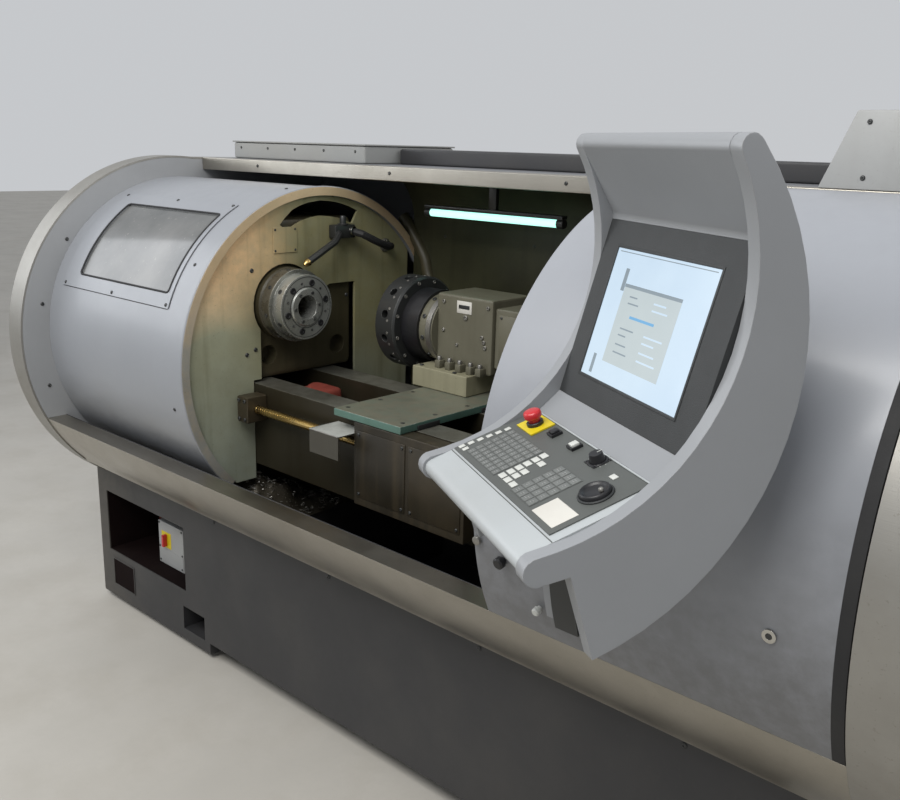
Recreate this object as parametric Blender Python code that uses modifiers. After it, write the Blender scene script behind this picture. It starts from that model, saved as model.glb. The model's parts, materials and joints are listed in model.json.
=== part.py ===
"""CNC turning lathe with a drum over its spindle, in metres, +Z up, +X away from the headstock.

The machine is measured in one frame (X from the middle of its length, Y to the back, Z from the
floor). The last step moves the root empty so that the middle of the footprint is the origin.
"""
import math

import bmesh
import bpy
from mathutils import Matrix, Vector

# Whole machine
LENGTH = 3.10
HALF_SHARE = 0.5
HALF = LENGTH * HALF_SHARE
GAP = 0.0003
RUN = 0.0006
REAR_Y = 1.08
INWARD = -1
SOLID_COLOUR = 1
POINT_WEIGHT = 1

# How finely round forms are divided
STEPS = 32
BEVEL_STEPS = 2
ARC_PITCH = 2.5
FOOT_STEPS = 16
HOLE_STEPS = 19
HOLE_PITCH = 18.0
SILL_STEPS = 8
NOSE_STEPS = 20
HOLE_SIDES = 20
SPINDLE_STEPS = 48
BOLT_SIDES = 12
SCREW_SIDES = 20
LAMP_STEPS = 24
CURVE_STEPS = 8
TUBE_ROUND = 2
TRIM_SIDES = 144
CHEEK_ARC_STEPS = 20
ROLL_STEPS = 8
WELD = 1e-5
MERGE = 1e-5
FULL_TURN = 360.0
FRONT_ANGLE = 180.0

# Base and feet
BASE_FRONT = -0.03
BASE_LOW = 0.02
BASE_TOP = 0.56
BASE_BEVEL = 0.006
MIDDLE_HALF = 0.80
MIDDLE_LOW = 0.065
REACH = 0.05
LEFT_PORT_X = (-1.483, -0.943)
LEFT_PORT_Z = (0.22, 0.467)
LEFT_PORT_BACK = 0.42
RIGHT_PORT_X = (1.22, 1.483)
RIGHT_PORT_Z = (0.12, 0.49)
RIGHT_PORT_BACK = 0.80
WINDOW_X = (0.831, 0.966)
WINDOW_TOP = 0.155
WINDOW_BACK = 0.16
WELL_X = (-0.55, 1.15)
WELL_Y = (0.07, 0.92)
WELL_FLOOR = 0.20
FOOT_RADIUS = 0.05
FOOT_STUD = 0.011
FOOT_STUD_TOP = 0.115
FOOT_CONE = 0.030
FOOT_RIM = 0.008
FOOT_X = (-0.898, 0.898)
FOOT_FRONT_Y = 0.07
FOOT_REAR_Y = 0.98

# End walls, cylindrical cover and door share one centre line
ARCH_Y = 0.329
ARCH_Z = 1.095
ARCH_RADIUS = 0.653
END_WALL = 0.092
INNER = HALF - END_WALL
ROOF_Z = 1.7435
TRIM = 0.007
BAR_HOLE = 0.06
SILL_TOP = 0.81
SILL_BACK = -0.18
SILL_BACK_LOW = 0.77
SILL_LIP = ((-0.112, 0.613), (-0.089, 0.613))
SILL_FOOT = (-0.024, 0.03)
SILL_ARC_LOW = 0.63
SKIN = 0.003
DOOR_X = (0.659, 1.432)
DOOR_RETURN = 0.025
DOOR_RADIUS = 0.649
DOOR_TOP_Y = 0.4472
DOOR_LIFT = 0.0007
SEAL_X = (1.4323, 1.4548)
SEAL_DEPTH = 0.012
SEAL_TUCK = 1.0
LOCK_X = 1.322
LOCK_Z = 1.029
LOCK_RADIUS = 0.013
LOCK_BORE = 0.006
LOCK_HEIGHT = 0.004
RAIL_Y = (0.448, 0.53)
RAIL_HEIGHT = 0.046
RAIL_BEVEL = 0.003
ROOF_THICK = 0.003
WALL_THICK = 0.02

# Boxes on the roof
HEAD_ROOF_X = (-1.43, -0.66)
HEAD_ROOF_Y = (0.58, 1.04)
HEAD_ROOF_TOP = 1.805
CHANNEL_X = (-0.65, 0.98)
CHANNEL_Y = (0.74, 0.96)
CHANNEL_TOP = 1.798
RIGHT_ROOF_X = 1.0
RIGHT_ROOF_Y = (0.45, 1.04)
RIGHT_ROOF_TOP = 1.915
ROOF_BEVEL = 0.008

# Drum over the chuck
DRUM_Y = 0.341
DRUM_Z = 1.111
DRUM_RADIUS = 0.56
DRUM_FACE = -0.606
DRUM_FLANGE = 0.028
DRUM_RECESS = 0.018
DRUM_FROM = -45.0
DRUM_TO = 150.0
PANEL_X = (-1.39, -0.717)
PANEL_ARC = (20.0, 63.0)
PANE_X = (-1.29, -0.742)
PANE_ARC = (25.3, 56.5)
PANE_LAP = 0.010
PANE_LAP_ARC = 0.8
PANE_PLAY = 0.0005
PANE_PLAY_ARC = 0.05
PANEL_GAP = 0.0005
INSIDE_SHARE = 0.88
OUTSIDE_SHARE = 1.20
PLATE_THICK = 0.010
PLATE_LOW = 0.72
PLATE_BACK = 0.76
SPINDLE_Y = 0.194
SPINDLE_Z = 1.297
CUT_RADIUS = 0.130
CUT_LEFT = 0.09
CUT_STEP = ((0.322, 1.318), (0.384, 1.345), (0.50, 1.345))
CUT_ARC = (170.0, -36.9)
CUT_LOW = 1.055
PLATE_FRONT = -0.02
PLATE_FACE = -0.6215
RIM_PLAY = 0.0006
SLOT_OUTER = (
    (0.174, 1.552), (0.196, 1.574), (0.225, 1.598), (0.257, 1.611), (0.290, 1.620), (0.342, 1.626),
    (0.387, 1.623), (0.430, 1.616), (0.472, 1.604), (0.512, 1.588),
)
SLOT_INNER = (
    (0.486, 1.545), (0.456, 1.557), (0.425, 1.566), (0.384, 1.573), (0.342, 1.576), (0.303, 1.571),
    (0.266, 1.562), (0.234, 1.548), (0.206, 1.530),
)
COVER_Y = (0.145, 0.242)
COVER_Z = (1.462, 1.545)
COVER_THICK = 0.003
COVER_BEVEL = 0.001

# Headstock and spindle
HEADSTOCK_X = (-1.352, -0.64)
HEADSTOCK_Y = (0.07, 0.50)
HEADSTOCK_TOP = 1.57
HEADSTOCK_BEVEL = 0.02
CORE_HOLE_Y = (0.1335, 0.4306)
CORE_HOLE_Z = 1.127
CORE_HOLE_RADIUS = 0.033
CORE_HOLE_DEPTH = 0.05
SHAFT_RADIUS = 0.060
CAP_X = -0.600
CAP_RADIUS = 0.120
CAP_CHAMFER = 0.008
SPINDLE_REAR = -1.446
RING_X = (-0.597, -0.556)
RING_RADIUS = 0.118
NOSE_FACE = -0.513
NOSE_RADIUS = 0.105
HUB_SHARE = 0.60
HUB_STEP = 0.004
BORE_RADIUS = 0.033
BORE_MOUTH = 0.039
BORE_TAPER = 0.06
BOLT_CIRCLE_SHARE = 0.76
BOLT_RADIUS = 0.0085
BOLT_DEPTH = 0.018
BOLTS = 6
BOLT_PHASE = 0.26

# Bed, carriage and turret
BED_X = (-1.352, 1.42)
BED_Y = (0.06, 0.43)
BED_LOW = 0.77
BED_TOP = 1.047
BED_CHANNEL_Y = (0.155, 0.33)
BED_CHANNEL_LOW = 0.87
BED_BEVEL = 0.004
BED_PLAY = 0.0015
LEG_Y = (0.085, 0.405)
LEFT_LEG_X = (-1.34, -0.72)
RIGHT_LEG_X = (1.16, 1.41)
LEG_LAP = 0.02
LEG_BEVEL = 0.01
SCREW_Y = 0.022
SCREW_Z = 0.977
SCREW_RADIUS = 0.0135
SCREW_X = (-0.598, 1.14)
BEARING_LEFT_X = (-0.61, -0.555)
BEARING_RIGHT_X = (1.09, 1.15)
BEARING_Y = -0.018
BEARING_Z = (0.935, 1.02)
BEARING_BEVEL = 0.004
SADDLE_X = (-0.155, 0.12)
SADDLE_Y = (-0.004, 0.66)
SADDLE_BEVEL = 0.003
SADDLE_RIDE = 0.0006
SADDLE_TOP = 1.070
APRON_X = (-0.065, 0.36)
APRON_Y = (-0.006, 0.052)
APRON_LOW = 0.80
APRON_BEVEL = 0.003
COVER_LEG = 0.07
SCREW_COVER_X = -0.190
SCREW_COVER_Y = (-0.066, 0.045)
SCREW_COVER_TOP = 1.012
SCREW_COVER_THICK = 0.004
RISER_X = (-0.20, 0.03)
RISER_Y = (0.366, 0.63)
RISER_TOP = 1.135
RISER_BEVEL = 0.004
TURRET_Y = 0.50
TURRET_Z = 1.245
HOUSING_X = (-0.15, 0.08)
HOUSING_Y = (0.42, 0.60)
HOUSING_TOP = 1.37
HOUSING_BEVEL = 0.010
TURRET_DRIVE_END = 0.26
TURRET_DRIVE_Y = (0.432, 0.588)
TURRET_DRIVE_Z = (1.160, 1.346)
TURRET_DRIVE_BEVEL = 0.006
DISC_X = (-0.36, -0.272)
DISC_RADIUS = 0.153
DISC_CHAMFER = 0.006
DISC_HUB_RADIUS = 0.052
DISC_HUB_X = -0.366
DISC_STATIONS = 12
STATION_RADIUS = 0.014
STATION_DEPTH = 0.05
CLUTCH_X = (-0.2717, -0.2005)
CLUTCH_RADIUS = 0.118
FLANGE_RADIUS = 0.1085
FLANGE_LAP = 0.006

# Inner walls, lamp and coolant line
SPLASH_Y = 0.78
SPLASH_CURVE = 0.20
LAMP_Y = 0.62
LAMP_Z = 1.595
LAMP_X = (-0.393, 0.18)
LAMP_RADIUS = 0.0125
LAMP_CAP = 0.024
LAMP_CAP_RADIUS = 0.015
HANGER_X = (-0.115, -0.085)
HANGER_Y = (0.612, 0.628)
HANGER_PLAY = 0.0009
NOZZLE_PIPE = (
    (-0.6211, 0.398, 1.520), (-0.596, 0.398, 1.520), (-0.580, 0.390, 1.513),
    (-0.566, 0.360, 1.492), (-0.556, 0.290, 1.462), (-0.550, 0.232, 1.436),
)
NOZZLE_RADIUS = 0.012
HOSE_ROUTE = (
    (-0.6211, 0.452, 1.525), (-0.590, 0.452, 1.525), (-0.560, 0.478, 1.514), (-0.548, 0.532, 1.488),
    (-0.556, 0.594, 1.466), (-0.582, 0.636, 1.463), (-0.600, 0.643, 1.463), (-0.6211, 0.643, 1.463),
)
HOSE_RADIUS = 0.013

# Rear cabinet, switch box and coolant tank
CABINET_X = (-1.25, 0.15)
CABINET_Y = 1.36
CABINET_Z = (0.66, 1.62)
CABINET_WALL = 0.022
CABINET_DOOR = 0.020
CABINET_BEVEL = 0.004
HINGE_RADIUS = 0.009
SWITCH_X = (-1.24, -1.07)
SWITCH_Y = (0.045, 0.16)
SWITCH_TOP = 0.395
SWITCH_BEVEL = 0.002
SWITCH_KNOB = (-1.185, 0.325)
SWITCH_KNOB_RADIUS = 0.024
SWITCH_KNOB_DEPTH = 0.018
SWITCH_GRIP = 0.006
TANK_X = (1.232, 1.471)
TANK_Y = (0.0, 0.60)
TANK_TOP = 0.455

# Console on the door, in its own frame: X along its width, -Y to the front, Z up
CONSOLE_AT = (1.1929, -0.6587)
CONSOLE_TURN = -28.91
CONSOLE_WIDTH = 0.517
CHEEK = 0.029
BACK_ARC = (-0.1549, 1.5215, 0.4795)
HOOD_END = (0.2085, 1.8325)
HOOD_ROLL = 0.019
TIP = (0.0, 1.0671)
FRONT_ARC = (-0.1614, 1.6274, 0.3855)
FRONT_HIGH = (0.1736, 1.8175)
FRONT_LOW = (-0.1077, 1.2446)
ROLL_CENTRE = (-0.0985, 1.2225)
CHEEK_ROLL = 0.0235
CHEEK_ROLL_ARC = (67.4, -117.5)
CHEEK_EDGE = 0.005
UNDER_DECK = (-0.0456, 1.2097)
HOOD_LOW = (0.2435, 1.7034)
BEZEL_LOW = (0.1542, 1.3610)
BEZEL_TILT = 74.8
BEZEL_HEIGHT = 0.3407
BEZEL_THICK = 0.012
SCREEN_X = (-0.4307, -0.0989)
SCREEN_Y = (0.0513, 0.2916)
SCREEN_DEPTH = 0.0045
SCREEN_THICK = 0.0032
SCREEN_SEAT = 0.0004
DECK_BACK = (0.1116, 1.3222)
DECK_FRONT = (-0.0631, 1.2553)
DECK_ROLL = 0.018
DECK_ROLL_ARC = (69.0, -110.0)
DECK_THICK = 0.020
BODY_BACK_LOW = 1.270
PANEL_PLATE_X = (-0.486, -0.050)
PANEL_PLATE_Y = (0.004, 0.180)
PANEL_PLATE_THICK = 0.002
STOP_PLATE_X = (-0.456, -0.388)
STOP_PLATE_Y = (0.127, 0.178)
STOP_PLATE_THICK = 0.003
STOP_AT = (-0.422, 0.1525)
STOP_RADIUS = 0.0185
STOP_NECK = 0.011
STOP_RISE = 0.028
STOP_TRAVEL = 0.004
STOP_DOME = 0.004
STOP_EDGE = 0.002
BUTTONS = (("black_push_button", -0.353, 0.160), ("white_push_button", -0.2726, 0.161))
BUTTON_RADIUS = 0.011
BUTTON_RISE = 0.009
BUTTON_TRAVEL = 0.0015
KNOB_AT = (-0.191, 0.1635)
KNOB_RADIUS = 0.0145
KNOB_RISE = 0.016
KNOB_GRIP = 0.003
JOG_AT = (-0.0965, 0.1096)
JOG_RADIUS = 0.030
JOG_RISE = 0.012
BRACKET_X = (-0.44, -0.24)
BRACKET_Y = (0.25, 0.47)
BRACKET_Z = (1.470, 1.573)

# Looks: colour, roughness, metallic
LOOKS = {
    "frame_paint": ((0.030, 0.030, 0.033), 0.45, 0.0),
    "wall_paint": ((0.262, 0.270, 0.279), 0.42, 0.0),
    "drum_paint": ((0.391, 0.413, 0.445), 0.40, 0.0),
    "door_paint": ((0.400, 0.420, 0.445), 0.38, 0.0),
    "roof_paint": ((0.450, 0.455, 0.440), 0.50, 0.0),
    "stainless": ((0.420, 0.390, 0.340), 0.32, 1.0),
    "bare_steel": ((0.420, 0.410, 0.390), 0.35, 1.0),
    "ground_steel": ((0.560, 0.550, 0.530), 0.22, 1.0),
    "dark_steel": ((0.060, 0.063, 0.063), 0.38, 0.9),
    "black_parts": ((0.012, 0.012, 0.014), 0.45, 0.0),
    "rubber": ((0.016, 0.016, 0.017), 0.80, 0.0),
    "brass": ((0.620, 0.420, 0.150), 0.30, 1.0),
    "casting_paint": ((0.090, 0.085, 0.055), 0.55, 0.0),
    "splash_paint": ((0.075, 0.070, 0.040), 0.55, 0.0),
    "plate_paint": ((0.190, 0.185, 0.110), 0.50, 0.0),
    "slide_paint": ((0.060, 0.110, 0.090), 0.50, 0.0),
    "riser_paint": ((0.205, 0.195, 0.120), 0.50, 0.0),
    "turret_paint": ((0.090, 0.084, 0.056), 0.50, 0.0),
    "console_paint": ((0.300, 0.320, 0.340), 0.40, 0.0),
    "deck_paint": ((0.610, 0.640, 0.660), 0.35, 0.0),
    "bezel_plastic": ((0.045, 0.050, 0.050), 0.50, 0.0),
    "screen_glass": ((0.610, 0.780, 0.910), 0.12, 0.0),
    "window_glass": ((0.050, 0.060, 0.060), 0.08, 0.0),
    "panel_plastic": ((0.140, 0.150, 0.145), 0.50, 0.0),
    "key_plastic": ((0.640, 0.650, 0.620), 0.45, 0.0),
    "safety_yellow": ((0.830, 0.680, 0.020), 0.40, 0.0),
    "safety_red": ((0.600, 0.022, 0.030), 0.35, 0.0),
    "lamp_cover": ((0.800, 0.800, 0.760), 0.30, 0.0),
    "light_grey": ((0.560, 0.570, 0.560), 0.45, 0.0),
}


def clear_scene():
    for obj in list(bpy.data.objects):
        bpy.data.objects.remove(obj, do_unlink=True)


def collection(name, hidden=False):
    group = bpy.data.collections.new(name)
    bpy.context.scene.collection.children.link(group)
    group.hide_render = hidden
    return group


clear_scene()
PARTS = collection("cnc_turning_lathe")
CUTTERS = collection("cutters", hidden=True)


def material(name):
    colour, roughness, metallic = LOOKS[name]
    made = bpy.data.materials.new(name)
    made.use_nodes = True
    shader = made.node_tree.nodes["Principled BSDF"]
    shader.inputs["Base Color"].default_value = (*colour, SOLID_COLOUR)
    shader.inputs["Roughness"].default_value = roughness
    shader.inputs["Metallic"].default_value = metallic
    made.diffuse_color = (*colour, SOLID_COLOUR)
    return made


MATERIALS = {name: material(name) for name in LOOKS}


def joint_empty(name, at, parent=None, own_frame=False, turn=(0, 0, 0)):
    """An empty that carries a moving body, or a frame whose pieces are measured from it."""
    empty = bpy.data.objects.new(name, None)
    empty["own_frame"] = own_frame
    PARTS.objects.link(empty)
    empty.location = at
    empty.rotation_euler = [math.radians(angle) for angle in turn]
    hang(empty, parent)
    return empty


def frame_origin(parent):
    """Where an empty stands in the frame that its pieces are measured in."""
    point = Vector((0, 0, 0))
    node = parent
    while node is not None and not node["own_frame"]:
        point = point + node.location
        node = node.parent
    return point


def hang(obj, parent):
    obj.location = obj.location - frame_origin(parent)
    obj.parent = parent


def finish(name, data, at, look, parent, turn=(0, 0, 0)):
    obj = bpy.data.objects.new(name, data)
    PARTS.objects.link(obj)
    data.materials.append(MATERIALS[look])
    obj.location = at
    obj.rotation_euler = turn
    hang(obj, parent)
    return obj


def middle(span):
    return (span[0] + span[1]) * HALF_SHARE


def width(span):
    return span[1] - span[0]


def round_edges(obj, amount):
    if amount > 0:
        bevel = obj.modifiers.new("edges", "BEVEL")
        bevel.width = amount
        bevel.segments = BEVEL_STEPS
        bevel.limit_method = "ANGLE"
    return obj


def cube_mesh(name, size):
    shape = bmesh.new()
    bmesh.ops.create_cube(shape, size=1)
    bmesh.ops.scale(shape, vec=size, verts=shape.verts)
    mesh = bpy.data.meshes.new(name)
    shape.to_mesh(mesh)
    shape.free()
    return mesh


def box(name, x, y, z, look, parent, bevel=0):
    mesh = cube_mesh(name, (width(x), width(y), width(z)))
    obj = finish(name, mesh, (middle(x), middle(y), middle(z)), look, parent)
    return round_edges(obj, bevel)


def flat_curve(name, outlines, thick):
    """A filled flat curve; the first outline is the edge, the others are holes."""
    curve = bpy.data.curves.new(name, "CURVE")
    curve.dimensions = "2D"
    curve.fill_mode = "BOTH"
    curve.extrude = thick * HALF_SHARE
    for outline in outlines:
        spline = curve.splines.new("POLY")
        spline.points.add(len(outline) - len(spline.points))
        for point, (across, up) in zip(spline.points, outline):
            point.co = (across, up, 0, POINT_WEIGHT)
        spline.use_cyclic_u = True
    return curve


X_TURN = (math.pi * HALF_SHARE, 0, math.pi * HALF_SHARE)
Y_TURN = (math.pi * HALF_SHARE, 0, 0)
BACK_TURN = (-math.pi * HALF_SHARE, 0, 0)
NO_TURN = (0, 0, 0)


def prism_x(name, outlines, x, look, parent):
    """Outlines in Y and Z, pushed out along X."""
    curve = flat_curve(name, outlines, width(x))
    return finish(name, curve, (middle(x), 0, 0), look, parent, X_TURN)


def prism_z(name, outlines, z, look, parent):
    curve = flat_curve(name, outlines, width(z))
    return finish(name, curve, (0, 0, middle(z)), look, parent)


def as_mesh(obj):
    """The same piece as a mesh, for modifiers that curves don't take."""
    bpy.context.view_layer.update()
    seen = obj.evaluated_get(bpy.context.evaluated_depsgraph_get())
    mesh = bpy.data.meshes.new_from_object(seen)
    shape = bmesh.new()
    shape.from_mesh(mesh)
    bmesh.ops.remove_doubles(shape, verts=shape.verts, dist=WELD)
    shape.to_mesh(mesh)
    shape.free()
    made = bpy.data.objects.new(obj.name, mesh)
    name, parent = obj.name, obj.parent
    place = obj.location.copy()
    turn = obj.rotation_euler.copy()
    home = obj.users_collection[0]
    bpy.data.objects.remove(obj, do_unlink=True)
    home.objects.link(made)
    made.name = name
    made.parent = parent
    made.location = place
    made.rotation_euler = turn
    return made


def screw(obj, steps, angle, smooth=True):
    turn = obj.modifiers.new("turn", "SCREW")
    turn.axis = "Z"
    turn.angle = math.radians(angle)
    turn.steps = steps
    turn.render_steps = steps
    turn.use_merge_vertices = True
    turn.merge_threshold = MERGE
    turn.use_smooth_shade = smooth
    return turn


TURNS = {"x": X_TURN, "y": BACK_TURN, "-y": Y_TURN, "z": NO_TURN}


def profile_mesh(name, points, closed):
    mesh = bpy.data.meshes.new(name)
    edges = [(one, one + 1) for one in range(len(points) - 1)]
    if closed:
        edges.append((len(points) - 1, 0))
    mesh.from_pydata([(radius, 0, along) for along, radius in points], edges, [])
    return mesh


def turned(name, profile, at, axis, look, parent, steps=STEPS, ring=False):
    """A profile of (along the axis, radius), from the far end down to the near end, turned once round."""
    mesh = profile_mesh(name, profile, ring)
    obj = finish(name, mesh, at, look, parent, TURNS[axis])
    screw(obj, steps, FULL_TURN)
    return obj


def rod(name, along, radius, at, axis, look, parent, steps=STEPS):
    profile = ((along[1], 0), (along[1], radius), (along[0], radius), (along[0], 0))
    return turned(name, profile, at, axis, look, parent, steps)


def ring(name, along, outer, inner, at, axis, look, parent, steps=STEPS):
    profile = ((along[1], inner), (along[1], outer), (along[0], outer), (along[0], inner))
    return turned(name, profile, at, axis, look, parent, steps, ring=True)


def tube(name, route, radius, look, parent):
    curve = bpy.data.curves.new(name, "CURVE")
    curve.dimensions = "3D"
    curve.bevel_depth = radius
    curve.bevel_resolution = TUBE_ROUND
    curve.use_fill_caps = True
    spline = curve.splines.new("POLY")
    spline.points.add(len(route) - len(spline.points))
    for point, place in zip(spline.points, route):
        point.co = (*place, POINT_WEIGHT)
    return finish(name, curve, (0, 0, 0), look, parent)


def cutter(obj):
    """Takes a piece out of the object's own collection, so that it only cuts."""
    PARTS.objects.unlink(obj)
    CUTTERS.objects.link(obj)
    obj.hide_render = True
    obj.display_type = "WIRE"
    return obj


def cut(obj, tool, operation="DIFFERENCE"):
    step = obj.modifiers.new("cut_" + tool.name, "BOOLEAN")
    step.operation = operation
    step.solver = "EXACT"
    step.object = tool
    return obj


def drill(obj, name, along, radius, at, axis, parent, sides):
    """Cuts a round hole, and gives the cutter back."""
    hole = cutter(rod("cut_" + name, along, radius, at, axis, "black_parts", parent, sides))
    cut(obj, hole)
    return hole


def cut_box(obj, name, x, y, z, parent):
    return cut(obj, cutter(box(name, x, y, z, "black_parts", parent)))


def arc(centre, radius, start, end, steps):
    """Points on a circle in Y and Z; 0 degrees points to the front, 90 up."""
    points = []
    for step in range(steps + 1):
        angle = math.radians(start + (end - start) * step / steps)
        points.append((centre[0] - radius * math.cos(angle), centre[1] + radius * math.sin(angle)))
    return points


def steps_for(start, end):
    return max(1, round(abs(end - start) / ARC_PITCH))


ARCH = (ARCH_Y, ARCH_Z)
DRUM = (DRUM_Y, DRUM_Z)


def build_base(root):
    base_z = (BASE_LOW, BASE_TOP)
    base = box("base_frame", (-HALF, HALF), (BASE_FRONT, REAR_Y), base_z, "frame_paint", root, BASE_BEVEL)
    front = BASE_FRONT - REACH
    middle_x = (-MIDDLE_HALF, MIDDLE_HALF)
    cut_box(base, "cut_middle", middle_x, (front, REAR_Y + REACH), (BASE_LOW - REACH, MIDDLE_LOW), root)
    cut_box(base, "cut_left_port", LEFT_PORT_X, (front, LEFT_PORT_BACK), LEFT_PORT_Z, root)
    cut_box(base, "cut_right_port", RIGHT_PORT_X, (front, RIGHT_PORT_BACK), RIGHT_PORT_Z, root)
    cut_box(base, "cut_chip_well", WELL_X, WELL_Y, (WELL_FLOOR, BASE_TOP + REACH), root)
    for side, name in ((-1, "left"), (1, "right")):
        ends = sorted((side * WINDOW_X[0], side * WINDOW_X[1]))
        cut_box(base, "cut_window_" + name, ends, (front, WINDOW_BACK), (MIDDLE_LOW, WINDOW_TOP), root)
    for name, x, y in foot_places():
        top = FOOT_STUD_TOP + RUN
        drill(base, name, (-REACH, top), FOOT_STUD + RUN, (x, y, 0), "z", root, FOOT_STEPS)
        build_foot(name, x, y, root)
    return base


def foot_places():
    places = []
    for x, side in zip(FOOT_X, ("left", "right")):
        places.append(("foot_front_" + side, x, FOOT_FRONT_Y))
        places.append(("foot_rear_" + side, x, FOOT_REAR_Y))
    return places


def build_foot(name, x, y, root):
    profile = (
        (FOOT_STUD_TOP, 0), (FOOT_STUD_TOP, FOOT_STUD), (BASE_LOW - GAP, FOOT_STUD),
        (BASE_LOW - GAP, FOOT_CONE), (FOOT_RIM, FOOT_RADIUS), (0, FOOT_RADIUS), (0, 0),
    )
    turned(name, profile, (x, y, 0), "z", "ground_steel", root, FOOT_STEPS)


def wall_outline(radius, roof):
    """Round the front from the base to the roof, then straight back and down."""
    low = BASE_TOP + GAP
    start = math.degrees(math.asin((low - ARCH_Z) / radius))
    end = FRONT_ANGLE - math.degrees(math.asin((roof - ARCH_Z) / radius))
    points = arc(ARCH, radius, start, end, steps_for(start, end))
    return points, [(REAR_Y, roof), (REAR_Y, low)]


def build_end_walls(root):
    spans = (("left", (-HALF, -INNER)), ("right", (INNER, HALF)))
    for side, x in spans:
        front, back = wall_outline(ARCH_RADIUS - TRIM - GAP, ROOF_Z - TRIM - GAP)
        outlines = [front + back]
        if side == "left":
            last = FULL_TURN - HOLE_PITCH
            outlines.append(arc((SPINDLE_Y, SPINDLE_Z), BAR_HOLE, 0, last, HOLE_STEPS))
        prism_x(side + "_end_wall", outlines, x, "wall_paint", root)
        outer, outer_back = wall_outline(ARCH_RADIUS, ROOF_Z)
        inner, inner_back = wall_outline(ARCH_RADIUS - TRIM, ROOF_Z - TRIM)
        band = outer + [outer_back[0], inner_back[0]] + inner[::-1]
        prism_x(side + "_arch_trim", [band], x, "stainless", root)


def build_sill(root):
    radius = DOOR_RADIUS
    top = math.degrees(math.asin((SILL_TOP - ARCH_Z) / radius))
    low = math.degrees(math.asin((SILL_ARC_LOW - ARCH_Z) / radius))
    face = arc(ARCH, radius, top, low, SILL_STEPS)
    foot = [(y, BASE_TOP + GAP) for y in SILL_FOOT]
    outline = [(SILL_BACK, SILL_TOP)] + face + list(SILL_LIP) + foot + [(SILL_BACK, SILL_BACK_LOW)]
    prism_x("front_sill", [outline], (GAP - INNER, INNER - GAP), "stainless", root)


def build_roof(root):
    x = (GAP - INNER, INNER - GAP)
    box("top_rail", x, RAIL_Y, (ROOF_Z - RAIL_HEIGHT, ROOF_Z), "stainless", root, RAIL_BEVEL)
    under, foot = ROOF_Z - ROOF_THICK, BASE_TOP + GAP
    front, back, inside = RAIL_Y[1] + GAP, REAR_Y - GAP, REAR_Y - WALL_THICK
    outline = [(front, ROOF_Z), (back, ROOF_Z), (back, foot)]
    outline += [(inside, foot), (inside, under), (front, under)]
    prism_x("roof_and_rear_wall", [outline], x, "wall_paint", root)
    low = ROOF_Z + GAP
    head_z = (low, HEAD_ROOF_TOP)
    box("headstock_roof_box", HEAD_ROOF_X, HEAD_ROOF_Y, head_z, "roof_paint", root, ROOF_BEVEL)
    box("rear_channel", CHANNEL_X, CHANNEL_Y, (low, CHANNEL_TOP), "frame_paint", root, ROOF_BEVEL)
    right_z = (low, RIGHT_ROOF_TOP)
    box("right_roof_box", (RIGHT_ROOF_X, HALF), RIGHT_ROOF_Y, right_z, "light_grey", root, ROOF_BEVEL)


def sweep_turn(angle):
    """Local Z to +X and local X to an angle above the front."""
    lean = math.radians(angle)
    across, up = math.cos(lean), math.sin(lean)
    return Matrix(((0, 0, 1), (-across, -up, 0), (up, -across, 0))).to_euler()


def swept_arc(name, profile, centre, span, thick, look, parent):
    """An open profile of (X, radius), right end first, swept about a line along X and made solid inward."""
    mesh = profile_mesh(name, profile, closed=False)
    obj = finish(name, mesh, (0, centre[0], centre[1]), look, parent, sweep_turn(span[1]))
    screw(obj, steps_for(*span), width(span))
    solid = obj.modifiers.new("thickness", "SOLIDIFY")
    solid.thickness = thick
    solid.offset = INWARD
    return obj


def wedge(name, centre, radius, span, x, parent):
    """A cutter through a curved skin between two angles."""
    outline = [
        arc(centre, radius * INSIDE_SHARE, span[0], span[1], 1)[0],
        arc(centre, radius * OUTSIDE_SHARE, span[0], span[1], 1)[0],
        arc(centre, radius * OUTSIDE_SHARE, span[0], span[1], 1)[1],
        arc(centre, radius * INSIDE_SHARE, span[0], span[1], 1)[1],
    ]
    return cutter(as_mesh(prism_x(name, [outline], x, "black_parts", parent)))


def grown(span, amount):
    return (span[0] - amount, span[1] + amount)


def build_drum(root):
    rim = DRUM_RADIUS - DRUM_FLANGE
    back = DRUM_FACE - DRUM_RECESS
    profile = ((back, rim), (DRUM_FACE, rim), (DRUM_FACE, DRUM_RADIUS), (GAP - INNER, DRUM_RADIUS))
    shell = swept_arc("drum_shell", profile, DRUM, (DRUM_FROM, DRUM_TO), SKIN, "drum_paint", root)
    open_x = grown(PANE_X, PANE_LAP)
    open_arc = grown(PANE_ARC, PANE_LAP_ARC)
    cut(shell, wedge("cut_window", DRUM, DRUM_RADIUS, open_arc, open_x, root))
    pane_x = grown(open_x, -PANE_PLAY)
    pane_arc = grown(open_arc, -PANE_PLAY_ARC)
    pane_line = ((pane_x[1], DRUM_RADIUS), (pane_x[0], DRUM_RADIUS))
    swept_arc("window_pane", pane_line, DRUM, pane_arc, SKIN, "window_glass", root)
    over = DRUM_RADIUS + PANEL_GAP + SKIN
    panel_line = ((PANEL_X[1], over), (PANEL_X[0], over))
    panel = swept_arc("window_frame", panel_line, DRUM, PANEL_ARC, SKIN, "drum_paint", root)
    cut(panel, wedge("cut_panel", DRUM, DRUM_RADIUS, PANE_ARC, PANE_X, root))


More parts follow.
